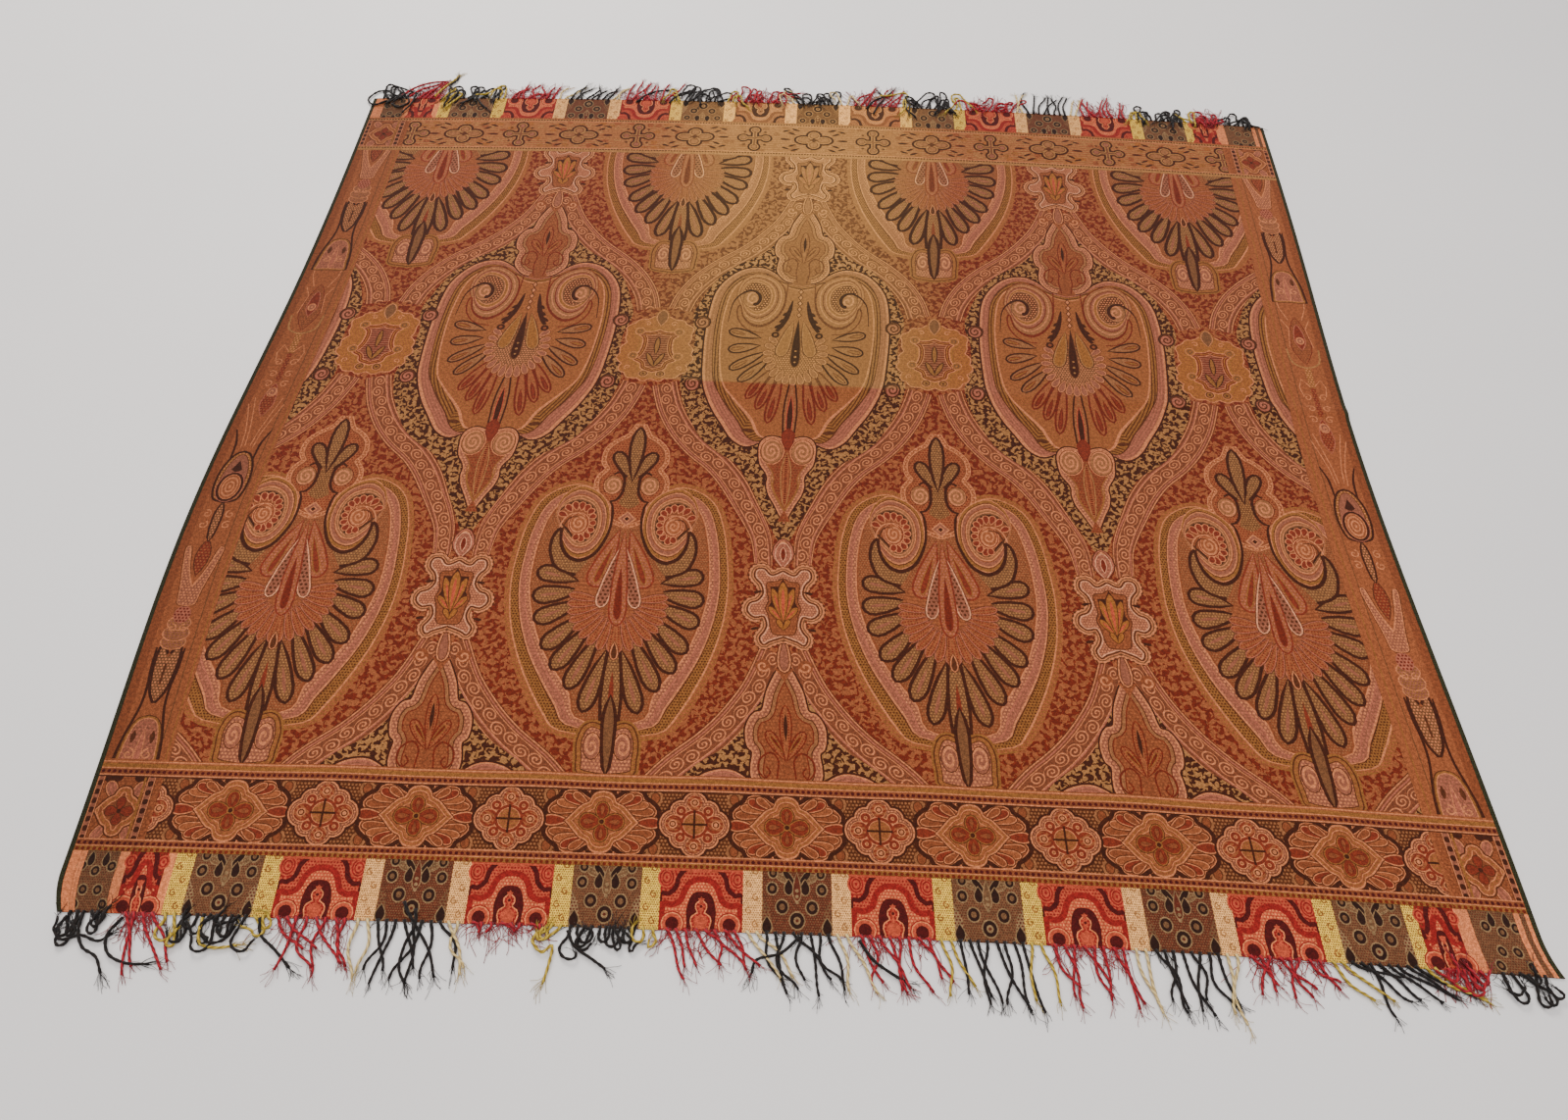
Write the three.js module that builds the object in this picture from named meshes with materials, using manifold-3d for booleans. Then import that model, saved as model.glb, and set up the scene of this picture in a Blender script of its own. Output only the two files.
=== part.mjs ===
import * as THREE from 'three';
import Module from 'manifold-3d';

const wasm = await Module();
wasm.setup();

// A square woven shawl that lies spread out on the floor. Sizes are in millimetres, +Z is up, and the
// origin is on the floor under the middle of the woven cloth. Flat places (x, y) are those of the cloth
// as it was woven; laid() moves them to where the relaxed cloth lies.
const cloth = { halfWidth: 890, nearEdge: -815, farEdge: 812, wall: 1.6, seam: 0.3 };
const seams = {
  leftSelvedge: -884,
  leftField: -802,
  rightField: 796,
  rightSelvedge: 884,
  nearGate: -740,
  nearField: -620,
  farField: 645,
  farGate: 748,
};

// How far each side is drawn in, where along the cloth that is most, and how far it spreads.
const sidePulls = {
  left: { pull: -31, middle: -240, spread: 430 },
  right: { pull: -26, middle: -60, spread: 520 },
};
const farBow = { rise: 30, middle: 30, halfSpan: 900 };
const nearLine = { rise: 3, wave: 1400, rightDrop: 15, fadeFrom: -600, fadeTo: -200 };
const cornerTurn = { left: 13, right: 11, from: -765, sharpness: 12 };

// Low swells where the cloth stands off the floor: middle, half sizes and height.
const swells = [
  { x: -585, y: -640, halfX: 110, halfY: 85, height: 3.5 },
  { x: -330, y: -632, halfX: 90, halfY: 90, height: 2.5 },
  { x: -95, y: -628, halfX: 120, halfY: 80, height: 3 },
  { x: 165, y: -626, halfX: 95, halfY: 85, height: 2.5 },
  { x: 420, y: -632, halfX: 115, halfY: 85, height: 4 },
  { x: 655, y: -645, halfX: 100, halfY: 80, height: 3 },
  { x: -640, y: -320, halfX: 150, halfY: 120, height: 2.5 },
  { x: 520, y: -260, halfX: 170, halfY: 130, height: 2.5 },
  { x: -610, y: 350, halfX: 150, halfY: 140, height: 2 },
  { x: 330, y: 430, halfX: 160, halfY: 130, height: 2.5 },
  { x: -160, y: 690, halfX: 150, halfY: 45, height: 2 },
  { x: 470, y: 700, halfX: 130, halfY: 40, height: 2.5 },
];
// The old fold line that runs across the cloth and dies away to the left.
const foldLine = { y: 62, fall: -0.012, halfWidth: 17, height: 2.4, from: -420, full: -200 };

// Grid lines along and across the cloth, closer together where it is creased.
const columnStep = 62;
const rowPlaces = [-796, -778, -740, -700, -660, -620, -580, -530, -450, -370, -290, -210, -130, -50,
  20, 45, 62, 79, 104, 170, 250, 330, 410, 490, 570, 645, 700, 748, 780];
const closestLines = 5;

// Coloured blocks of the gate strips, from the middle outwards: dark and red take turns at half a pitch,
// each dark block stands between two pale stripes, and each end closes with half a red block and a corner.
const gates = { pitch: 230, middle: -1, darkWidth: 84, paleWidth: 23, wholeBlocks: 13 };
const blockKinds = {
  dark: { tone: 'dark', width: gates.darkWidth + 2 * gates.paleWidth, strands: 4, pale: 1 },
  red: { tone: 'red', width: 92, strands: 5, pale: 0 },
  halfRed: { tone: 'red', width: 44, strands: 3, pale: 0, fromMiddle: 782 },
  corner: { tone: 'dark', width: 58, strands: 3, pale: 0, fromMiddle: 847 },
};

// Fringe yarns. A strand has three sides, starts inside its backing strip and lies on the floor.
const yarn = { radius: 1.7, sides: 3, lift: 1.75, stripDepth: 4, rootDepth: 2.4, step: 17, unevenness: 0.12 };
const loop = { radius: 6, arcSteps: 3, climb: 2.6, backStep: 25 };

// One row for each block from left to right: the length of a strand, the lean at its root and its turn on
// the way (degrees to the right), and the length that comes back after a loop.
const nearFringe = [
  { out: 27, lean: 4, turn: 0, back: 14 },
  { out: 68, lean: 16, turn: 12, back: 0 },
  { out: 22, lean: 4, turn: 0, back: 13 },
  { out: 62, lean: 14, turn: 10, back: 0 },
  { out: 66, lean: 12, turn: -8, back: 0 },
  { out: 11, lean: 20, turn: 0, back: 0 },
  { out: 16, lean: 6, turn: 0, back: 9 },
  { out: 52, lean: 22, turn: 8, back: 0 },
  { out: 70, lean: 16, turn: 14, back: 0 },
  { out: 66, lean: 14, turn: 10, back: 0 },
  { out: 70, lean: 6, turn: 4, back: 0 },
  { out: 60, lean: 8, turn: 18, back: 0 },
  { out: 68, lean: 6, turn: 10, back: 0 },
  { out: 48, lean: 8, turn: 8, back: 0 },
  { out: 62, lean: 34, turn: 26, back: 0 },
  { out: 10, lean: 10, turn: 0, back: 26 },
  { out: 18, lean: 10, turn: 0, back: 10 },
];
const farFringe = [
  { out: 24, lean: -12, turn: 0, back: 52 },
  { out: 56, lean: 16, turn: 8, back: 0 },
  { out: 26, lean: 8, turn: 0, back: 46 },
  { out: 44, lean: 6, turn: 20, back: 0 },
  { out: 40, lean: 18, turn: 20, back: 0 },
  { out: 54, lean: 2, turn: 12, back: 0 },
  { out: 24, lean: 6, turn: 0, back: 34 },
  { out: 30, lean: -6, turn: 0, back: 26 },
  { out: 28, lean: -2, turn: 0, back: 24 },
  { out: 58, lean: 14, turn: 16, back: 0 },
  { out: 26, lean: -4, turn: 0, back: 46 },
  { out: 24, lean: 12, turn: 0, back: 16 },
  { out: 56, lean: 0, turn: 14, back: 0 },
  { out: 54, lean: -12, turn: 20, back: 0 },
  { out: 22, lean: 8, turn: 0, back: 34 },
  { out: 20, lean: 14, turn: 0, back: 24 },
  { out: 20, lean: 14, turn: 0, back: 30 },
];

const finishes = {
  figured: { color: 0xa85c38, roughness: 0.86 },
  border: { color: 0x9c4a2e, roughness: 0.86 },
  gate: { color: 0xa8643c, roughness: 0.84 },
  selvedge: { color: 0x37462f, roughness: 0.8 },
  dark: { color: 0x24211e, roughness: 0.75 },
  red: { color: 0xb0303a, roughness: 0.75 },
};

const clamp01 = (t) => Math.min(1, Math.max(0, t));
const smooth = (t) => clamp01(t) ** 2 * (3 - 2 * clamp01(t));
const hump = (t) => (Math.abs(t) < 1 ? Math.cos((t * Math.PI) / 2) ** 2 : 0);
const bell = (y, side) => side.pull * Math.exp(-(((y - side.middle) / side.spread) ** 2));

// Where a place (x, y) of the woven cloth lies on the floor.
function laid(x, y) {
  const share = (x + cloth.halfWidth) / (2 * cloth.halfWidth);
  const pull = THREE.MathUtils.lerp(bell(y, sidePulls.left), bell(y, sidePulls.right), share);
  const nearness = clamp01((cornerTurn.from - y) / (cornerTurn.from - cloth.nearEdge));
  const turn = x < 0 ? cornerTurn.left : cornerTurn.right;
  const corner = turn * nearness ** 2 * Math.abs(x / cloth.halfWidth) ** cornerTurn.sharpness;
  const up = (y - cloth.nearEdge) / (cloth.farEdge - cloth.nearEdge);
  const bow = farBow.rise * up ** 2 * (1 - ((x - farBow.middle) / farBow.halfSpan) ** 2);
  const fade = smooth((nearLine.fadeTo - y) / (nearLine.fadeTo - nearLine.fadeFrom));
  const wave = nearLine.rise * Math.cos((Math.PI * x) / nearLine.wave);
  const drop = nearLine.rightDrop * Math.max(0, x / cloth.halfWidth) ** 2;
  return [x + pull + corner, y + bow + fade * (wave - drop)];
}

// Height of the cloth's underside above the floor.
function relief(x, y) {
  let height = 0;
  for (const swell of swells) {
    const rise = hump((x - swell.x) / swell.halfX) * hump((y - swell.y) / swell.halfY);
    height = Math.max(height, swell.height * rise);
  }
  const middle = foldLine.y + foldLine.fall * x;
  const strength = smooth((x - foldLine.from) / (foldLine.full - foldLine.from));
  return Math.max(height, foldLine.height * strength * hump((y - middle) / foldLine.halfWidth));
}

// The grid lines from low to high, with both ends drawn back by half a seam where another piece follows.
function lines(low, high, places, halfSeam) {
  const between = places.filter((place) => place > low + closestLines && place < high - closestLines);
  const isRim = (edge) => [-cloth.halfWidth, cloth.halfWidth, cloth.nearEdge, cloth.farEdge].includes(edge);
  return [low + (isRim(low) ? 0 : halfSeam), ...between, high - (isRim(high) ? 0 : halfSeam)];
}

const columnCount = Math.floor(cloth.halfWidth / columnStep);
const columnPlaces = Array.from({ length: 2 * columnCount + 1 }, (_, i) => (i - columnCount) * columnStep);

// One woven panel between two flat x and two flat y, as a wall of even thickness.
function panel(x0, x1, y0, y1) {
  const xs = lines(x0, x1, columnPlaces, cloth.seam / 2);
  const ys = lines(y0, y1, rowPlaces, cloth.seam / 2);
  const positions = [];
  for (const thickness of [0, cloth.wall]) {
    for (const y of ys) {
      for (const x of xs) {
        positions.push(...laid(x, y), relief(x, y) + thickness);
      }
    }
  }
  const across = xs.length;
  const layer = across * ys.length;
  const index = [];
  const quad = (a, b, c, d) => index.push(a, b, c, a, c, d);
  for (let row = 0; row < ys.length - 1; row += 1) {
    for (let column = 0; column < across - 1; column += 1) {
      const a = row * across + column;
      quad(a, a + across, a + across + 1, a + 1);
      quad(layer + a, layer + a + 1, layer + a + across + 1, layer + a + across);
    }
  }
  for (let column = 0; column < across - 1; column += 1) {
    const far = (ys.length - 1) * across + column;
    quad(column, column + 1, layer + column + 1, layer + column);
    quad(far + 1, far, layer + far, layer + far + 1);
  }
  for (let row = 0; row < ys.length - 1; row += 1) {
    const left = row * across;
    const right = left + across - 1;
    quad(left + across, left, layer + left, layer + left + across);
    quad(right, right + across, layer + right + across, layer + right);
  }
  return indexed(positions, index);
}

function indexed(positions, index) {
  const geometry = new THREE.BufferGeometry();
  geometry.setAttribute('position', new THREE.Float32BufferAttribute(positions, 3));
  geometry.setIndex(index);
  return geometry;
}

function solid(positions, index) {
  const vertProperties = new Float32Array(positions);
  return new wasm.Manifold(new wasm.Mesh({ numProp: 3, vertProperties, triVerts: new Uint32Array(index) }));
}

// A closed tube of rings round a line of points, for one strand.
function strandSolid(points) {
  const positions = [];
  const index = [];
  const up = new THREE.Vector3(0, 0, 1);
  points.forEach((point, i) => {
    const ahead = points[Math.min(i + 1, points.length - 1)];
    const behind = points[Math.max(i - 1, 0)];
    const along = new THREE.Vector3().subVectors(ahead, behind).normalize();
    const sideways = new THREE.Vector3().crossVectors(along, up).normalize();
    const above = new THREE.Vector3().crossVectors(sideways, along);
    for (let k = 0; k < yarn.sides; k += 1) {
      const angle = Math.PI / 2 + (2 * Math.PI * k) / yarn.sides;
      const ring = point.clone();
      ring.addScaledVector(sideways, yarn.radius * Math.cos(angle));
      ring.addScaledVector(above, yarn.radius * Math.sin(angle));
      positions.push(ring.x, ring.y, ring.z);
    }
  });
  const last = (points.length - 1) * yarn.sides;
  for (let ring = 0; ring < points.length - 1; ring += 1) {
    for (let k = 0; k < yarn.sides; k += 1) {
      const a = ring * yarn.sides + k;
      const b = ring * yarn.sides + ((k + 1) % yarn.sides);
      index.push(a, b + yarn.sides, b, a, a + yarn.sides, b + yarn.sides);
    }
  }
  for (let k = 1; k < yarn.sides - 1; k += 1) {
    index.push(0, k, k + 1, last, last + k + 1, last + k);
  }
  return solid(positions, index);
}

// The line of one strand: out from the hem, leaning and turning, and back over a loop where it has one.
function strandLine(root, outward, block, length) {
  const points = [];
  const at = new THREE.Vector3(root[0], root[1] - outward * yarn.rootDepth, yarn.lift);
  let heading = THREE.MathUtils.degToRad(block.lean);
  const go = (distance, climb) => {
    at.x += distance * Math.sin(heading);
    at.y += distance * Math.cos(heading) * outward;
    at.z += climb;
    points.push(at.clone());
  };
  go(0, 0);
  const steps = Math.max(2, Math.round(length / yarn.step));
  for (let i = 0; i < steps; i += 1) {
    heading += THREE.MathUtils.degToRad(block.turn) / steps;
    go((length + yarn.rootDepth) / steps, 0);
  }
  if (block.back > 0) {
    for (let i = 0; i < loop.arcSteps; i += 1) {
      heading += Math.PI / loop.arcSteps / 2;
      go((Math.PI * loop.radius) / loop.arcSteps, loop.climb / loop.arcSteps);
      heading += Math.PI / loop.arcSteps / 2;
    }
    const backSteps = Math.max(1, Math.round(block.back / loop.backStep));
    for (let i = 0; i < backSteps; i += 1) {
      go(block.back / backSteps, 0);
    }
  }
  return points;
}

// The blocks of one end from left to right, each with its place, its kind and the lie of its strands.
function fringeBlocks(lies) {
  const half = (gates.wholeBlocks - 1) / 2;
  return lies.map((lie, i) => {
    const k = i - (lies.length - 1) / 2;
    if (Math.abs(k) <= half) {
      const kind = k % 2 === 0 ? blockKinds.dark : blockKinds.red;
      return { ...lie, ...kind, at: gates.middle + (k * gates.pitch) / 2 };
    }
    const kind = Math.abs(k) === half + 1 ? blockKinds.halfRed : blockKinds.corner;
    return { ...lie, ...kind, at: gates.middle + Math.sign(k) * kind.fromMiddle };
  });
}

// One block of fringe: its narrow backing strip just outside the hem, with its strands fused into it.
function fringeBlock(block, edge, outward) {
  const gap = outward * cloth.seam;
  const x0 = block.at - block.width / 2 + cloth.seam / 2;
  const x1 = block.at + block.width / 2 - cloth.seam / 2;
  const between = columnPlaces.filter((x) => x > x0 + closestLines && x < x1 - closestLines);
  const xs = [x0, ...between, x1];
  const positions = [];
  for (const x of xs) {
    const [px, py] = laid(x, edge);
    const inner = py + gap;
    const outer = py + gap + outward * yarn.stripDepth;
    positions.push(px, inner, 0, px, outer, 0, px, outer, cloth.wall, px, inner, cloth.wall);
  }
  const index = [];
  const quad = (a, b, c, d) => (outward > 0 ? index.push(a, b, c, a, c, d) : index.push(a, c, b, a, d, c));
  quad(0, 3, 2, 1);
  for (let i = 0; i < xs.length - 1; i += 1) {
    for (let k = 0; k < 4; k += 1) {
      const a = 4 * i + k;
      const b = 4 * i + ((k + 1) % 4);
      quad(a, b, b + 4, a + 4);
    }
  }
  const end = 4 * (xs.length - 1);
  quad(end, end + 1, end + 2, end + 3);
  let whole = solid(positions, index);

  const body = block.width - 2 * block.pale * gates.paleWidth;
  const roots = [];
  for (let i = 0; i < block.strands; i += 1) {
    roots.push(block.at - body / 2 + (body * (i + 0.5)) / block.strands);
  }
  for (let i = 0; i < block.pale; i += 1) {
    const middle = (body + gates.paleWidth) / 2;
    roots.push(block.at - middle, block.at + middle);
  }
  roots.forEach((x) => {
    const [px, py] = laid(x, edge);
    const root = [px, py + outward * (cloth.seam + yarn.stripDepth)];
    const length = block.out * (1 + yarn.unevenness * Math.sin(x));
    whole = whole.add(strandSolid(strandLine(root, outward, block, length)));
  });
  const made = whole.getMesh();
  return indexed(made.vertProperties, Array.from(made.triVerts));
}

const shawl = new THREE.Group();

function addPiece(name, geometry, finish) {
  geometry.computeVertexNormals();
  const material = new THREE.MeshStandardMaterial({ metalness: 0, ...finishes[finish] });
  const mesh = new THREE.Mesh(geometry, material);
  mesh.name = name;
  shawl.add(mesh);
}

const { leftSelvedge, leftField, rightField, rightSelvedge, nearGate, nearField, farField, farGate } = seams;
const { halfWidth, nearEdge, farEdge } = cloth;
addPiece('field', panel(leftField, rightField, nearField, farField), 'figured');
addPiece('side_border_left', panel(leftSelvedge, leftField, nearGate, farGate), 'border');
addPiece('side_border_right', panel(rightField, rightSelvedge, nearGate, farGate), 'border');
addPiece('end_border_near', panel(leftField, rightField, nearGate, nearField), 'border');
addPiece('end_border_far', panel(leftField, rightField, farField, farGate), 'border');
addPiece('gate_near', panel(leftSelvedge, rightSelvedge, nearEdge, nearGate), 'gate');
addPiece('gate_far', panel(leftSelvedge, rightSelvedge, farGate, farEdge), 'gate');
addPiece('selvedge_left', panel(-halfWidth, leftSelvedge, nearEdge, farEdge), 'selvedge');
addPiece('selvedge_right', panel(rightSelvedge, halfWidth, nearEdge, farEdge), 'selvedge');

const fringes = [
  { end: 'near', lies: nearFringe, edge: nearEdge, outward: -1 },
  { end: 'far', lies: farFringe, edge: farEdge, outward: 1 },
];
for (const { end, lies, edge, outward } of fringes) {
  fringeBlocks(lies).forEach((block, i) => {
    const number = String(i + 1).padStart(2, '0');
    addPiece(`fringe_${end}_${number}`, fringeBlock(block, edge, outward), block.tone);
  });
}

export default shawl;
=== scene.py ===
# %% [markdown]
# A piano shawl, laid flat
#
# This lesson dresses a plain model of a large fringed paisley shawl. The real thing is one fine wool
# twill in which the loom draws every leaf and line, so nearly all of its looks are drawing and colour.
# The plain model gives the true sizes. Here each woven piece gets a thin shell whose faces follow the
# drawing, a twill finish, and twisted yarns for the fringe.

# %% Open the frame
import math
import bpy
import numpy as np
from mathutils import Matrix, Vector
from mathutils.geometry import delaunay_2d_cdt


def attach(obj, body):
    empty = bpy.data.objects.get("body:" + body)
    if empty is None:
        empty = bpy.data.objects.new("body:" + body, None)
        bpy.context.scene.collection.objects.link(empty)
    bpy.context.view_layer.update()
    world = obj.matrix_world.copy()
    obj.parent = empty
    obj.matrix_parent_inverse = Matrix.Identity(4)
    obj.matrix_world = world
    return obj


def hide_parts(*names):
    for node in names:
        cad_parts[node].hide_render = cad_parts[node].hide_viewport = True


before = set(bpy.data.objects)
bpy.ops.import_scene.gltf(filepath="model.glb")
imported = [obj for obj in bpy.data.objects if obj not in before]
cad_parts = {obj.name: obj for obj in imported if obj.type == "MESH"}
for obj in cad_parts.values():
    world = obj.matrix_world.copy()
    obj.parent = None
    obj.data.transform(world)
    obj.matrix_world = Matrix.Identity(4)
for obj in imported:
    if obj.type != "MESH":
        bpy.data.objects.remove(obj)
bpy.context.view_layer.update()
scene = bpy.context.scene
MM = 0.001

# %% [markdown]
# The camera stands where a person would hold one, 1.35 m above the floor and 0.4 m back from the near
# hem, and looks down at 55 degrees. Its place and turn are written as a position and two axes, which
# keeps the perspective of the four corners exact. The third axis is square to both.

# %% Camera
SENSOR_WIDTH = 36.0
FRAME_WIDTH = 1599.0
FOCAL_PIXELS = 1150.0
CAMERA_PLACE = Vector((-33.74, -1204.03, 1354.01)) * MM
CAMERA_RIGHT = Vector((0.99937478, 0.03021515, 0.01836033))
CAMERA_DOWN = Vector((0.03530041, -0.82356665, -0.56612))

camera_data = bpy.data.cameras.new("camera")
camera_data.sensor_width = SENSOR_WIDTH
camera_data.lens = SENSOR_WIDTH * FOCAL_PIXELS / FRAME_WIDTH
camera_data.clip_end = 30
camera = bpy.data.objects.new("camera", camera_data)
scene.collection.objects.link(camera)
camera_axes = Matrix((CAMERA_RIGHT, -CAMERA_DOWN, CAMERA_RIGHT.cross(-CAMERA_DOWN))).transposed()
camera.matrix_world = Matrix.Translation(CAMERA_PLACE) @ camera_axes.to_4x4()
scene.camera = camera
print("lens", round(camera_data.lens, 2), "mm")

# %% [markdown]
# Shader maths reads best as ordinary sums. `Wire` wraps one socket of a node tree, so that `a * 2 + b`
# adds the Math nodes by itself, and `node` adds any other node with its settings first and its inputs
# after them.

# %% A socket that can be used in sums
class Wire:
    def __init__(self, tree, socket):
        self.tree, self.socket = tree, socket

    def node(self, kind, settings=None, **inputs):
        made = self.tree.nodes.new(kind)
        for name, value in (settings or {}).items():
            setattr(made, name, value)
        for name, value in inputs.items():
            into = made.inputs[int(name[1:]) if name[1:].isdigit() else name.replace("_", " ")]
            if isinstance(value, Wire):
                self.tree.links.new(value.socket, into)
            else:
                into.default_value = value
        return made

    def out(self, kind, settings=None, take=0, **inputs):
        return Wire(self.tree, self.node(kind, settings, **inputs).outputs[take])

    def math(self, operation, *values):
        inputs = {f"i{i}": value for i, value in enumerate(values)}
        return self.out("ShaderNodeMath", {"operation": operation}, **inputs)

    def __add__(self, other):
        return self.math("ADD", self, other)

    def __radd__(self, other):
        return self.math("ADD", other, self)

    def __sub__(self, other):
        return self.math("SUBTRACT", self, other)

    def __rsub__(self, other):
        return self.math("SUBTRACT", other, self)

    def __mul__(self, other):
        return self.math("MULTIPLY", self, other)

    def __rmul__(self, other):
        return self.math("MULTIPLY", other, self)

    def __truediv__(self, other):
        return self.math("DIVIDE", self, other)

    def __rtruediv__(self, other):
        return self.math("DIVIDE", other, self)

    def __gt__(self, other):
        return self.math("GREATER_THAN", self, other)

    def __lt__(self, other):
        return self.math("LESS_THAN", self, other)

    def sine(self):
        return self.math("SINE", self)

    def size(self):
        return self.math("ABSOLUTE", self)

    def part(self):
        return self.math("FRACT", self)

    def whole(self):
        return self.math("FLOOR", self)

    def root(self):
        return self.math("SQRT", self)

    def sign(self):
        return self.math("SIGN", self)

    def angle(self, beside):
        return self.math("ARCTAN2", self, beside) / (2 * math.pi)

    def ramp(self, low, high, to_low=0.0, to_high=1.0):
        settings = {"interpolation_type": "SMOOTHSTEP"}
        return self.out("ShaderNodeMapRange", settings, i0=self, i1=low, i2=high, i3=to_low, i4=to_high)

    def mix(self, share, other, blend="MIX"):
        settings = {"data_type": "RGBA", "blend_type": blend}
        return self.out("ShaderNodeMix", settings, take=2, i0=share, i6=self, i7=other)

    def axes(self):
        split = self.node("ShaderNodeSeparateXYZ", i0=self)
        return [Wire(self.tree, socket) for socket in split.outputs]


def new_material(name):
    material = bpy.data.materials.new(name)
    material.use_nodes = True
    material.node_tree.nodes.clear()
    return material, Wire(material.node_tree, None)


def linear(r, g, b):
    """The colour of a dye from its usual 0 to 255 values, as light."""
    values = [v / 255 for v in (r, g, b)]
    return tuple(v / 12.92 if v < 0.04045 else ((v + 0.055) / 1.055) ** 2.4 for v in values)


# %% [markdown]
# The room is plain: a pale floor and broad soft light from above, a little stronger from the far left,
# which is what the soft, nearly shadowless look of the cloth asks for.

# %% Floor and light
def floor_material():
    material, start = new_material("painted_floor")
    place = start.out("ShaderNodeTexCoord", take=3)
    patchy = start.out("ShaderNodeTexNoise", Vector=place, Scale=1.3, Detail=4.0)
    pale, shade = (*linear(214, 211, 208), 1), (*linear(204, 201, 199), 1)
    colour = start.out("ShaderNodeMix", {"data_type": "RGBA"}, take=2, i0=patchy, i6=pale, i7=shade)
    skin = start.node("ShaderNodeBsdfPrincipled", Base_Color=colour, Roughness=0.6)
    output = start.node("ShaderNodeOutputMaterial")
    material.node_tree.links.new(skin.outputs[0], output.inputs[0])
    return material


def add_floor(half=6.0, drop=-0.0004):
    mesh = bpy.data.meshes.new("floor")
    corners = [(-half, -half, drop), (half, -half, drop), (half, half, drop), (-half, half, drop)]
    mesh.from_pydata(corners, [], [(0, 1, 2, 3)])
    floor = bpy.data.objects.new("floor", mesh)
    scene.collection.objects.link(floor)
    floor.data.materials.append(floor_material())


def add_area_light(name, place, aim, size, power, colour):
    data = bpy.data.lights.new(name, "AREA")
    data.shape, data.size, data.energy, data.color = "DISK", size, power, colour
    light = bpy.data.objects.new(name, data)
    scene.collection.objects.link(light)
    light.location = place
    light.rotation_euler = (Vector(aim) - Vector(place)).to_track_quat("-Z", "Y").to_euler()


add_floor()
world = bpy.data.worlds.new("room")
world.use_nodes = True
world.node_tree.nodes["Background"].inputs[0].default_value = (0.96, 0.96, 1.0, 1)
world.node_tree.nodes["Background"].inputs[1].default_value = 0.98
scene.world = world
add_area_light("window", (-1.4, 3.0, 3.0), (0, 0.4, 0), 2.2, 190, (1.0, 0.95, 0.90))
add_area_light("ceiling", (0.3, -0.8, 3.6), (0, 0, 0), 3.0, 90, (1.0, 0.94, 0.90))

# %% [markdown]
# The cloth was woven square and lies a little out of square: its sides draw in, the far end bows, and
# the near hem dips to the right. Every place in this lesson is first written on the flat cloth, and
# `laid` moves it to where the relaxed cloth lies, with the same sizes as the plain model.

# %% How the woven cloth lies on the floor
HALF_WIDTH, NEAR_EDGE, FAR_EDGE = 890.0, -815.0, 812.0
WALL, SEAM = 1.6, 0.3
LEFT_SELVEDGE, LEFT_FIELD, RIGHT_FIELD, RIGHT_SELVEDGE = -884.0, -802.0, 796.0, 884.0
NEAR_GATE, NEAR_FIELD, FAR_FIELD, FAR_GATE = -740.0, -620.0, 645.0, 748.0
LEFT_PULL, RIGHT_PULL = (-31.0, -240.0, 430.0), (-26.0, -60.0, 520.0)
CORNER_FROM, LEFT_CORNER, RIGHT_CORNER, CORNER_SHARPNESS = -765.0, 13.0, 11.0, 12
BOW_RISE, BOW_MIDDLE, BOW_SPAN = 30.0, 30.0, 900.0
WAVE_RISE, WAVE_LENGTH, RIGHT_DROP, WAVE_FROM, WAVE_FADE = 3.0, 1400.0, 15.0, -200.0, 400.0
FOLD, FOLD_FALL, FOLD_HALF, FOLD_HEIGHT, FOLD_START, FOLD_GROWTH = 62.0, -0.012, 17.0, 2.4, -420.0, 220.0
SWELLS = [
    (-585, -640, 110, 85, 3.5), (-330, -632, 90, 90, 2.5), (-95, -628, 120, 80, 3.0),
    (165, -626, 95, 85, 2.5), (420, -632, 115, 85, 4.0), (655, -645, 100, 80, 3.0),
    (-640, -320, 150, 120, 2.5), (520, -260, 170, 130, 2.5), (-610, 350, 150, 140, 2.0),
    (330, 430, 160, 130, 2.5), (-160, 690, 150, 45, 2.0), (470, 700, 130, 40, 2.5),
]


def smooth(t):
    t = np.clip(t, 0, 1)
    return t * t * (3 - 2 * t)


def hump(t):
    return np.where(np.abs(t) < 1, np.cos(np.clip(t, -1, 1) * math.pi / 2) ** 2, 0)


def laid(x, y):
    def bell(side):
        return side[0] * np.exp(-(((y - side[1]) / side[2]) ** 2))
    share = (x + HALF_WIDTH) / (2 * HALF_WIDTH)
    pull = bell(LEFT_PULL) * (1 - share) + bell(RIGHT_PULL) * share
    nearness = np.clip((CORNER_FROM - y) / (CORNER_FROM - NEAR_EDGE), 0, 1)
    turn = np.where(x < 0, LEFT_CORNER, RIGHT_CORNER) * nearness ** 2
    corner = turn * np.abs(x / HALF_WIDTH) ** CORNER_SHARPNESS
    up = (y - NEAR_EDGE) / (FAR_EDGE - NEAR_EDGE)
    bow = BOW_RISE * up ** 2 * (1 - ((x - BOW_MIDDLE) / BOW_SPAN) ** 2)
    wave = WAVE_RISE * np.cos(math.pi * x / WAVE_LENGTH) - RIGHT_DROP * np.maximum(0, x / HALF_WIDTH) ** 2
    return x + pull + corner, y + bow + smooth((WAVE_FROM - y) / WAVE_FADE) * wave


def relief(x, y):
    """How far the cloth stands off the floor, over its low swells and along the old fold."""
    height = np.zeros_like(x)
    for at_x, at_y, half_x, half_y, rise in SWELLS:
        height = np.maximum(height, rise * hump((x - at_x) / half_x) * hump((y - at_y) / half_y))
    middle = FOLD + FOLD_FALL * x
    strength = smooth((x - FOLD_START) / FOLD_GROWTH)
    return np.maximum(height, FOLD_HEIGHT * strength * hump((y - middle) / FOLD_HALF))


print("woven cloth", 2 * HALF_WIDTH, "by", FAR_EDGE - NEAR_EDGE, "mm")


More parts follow.
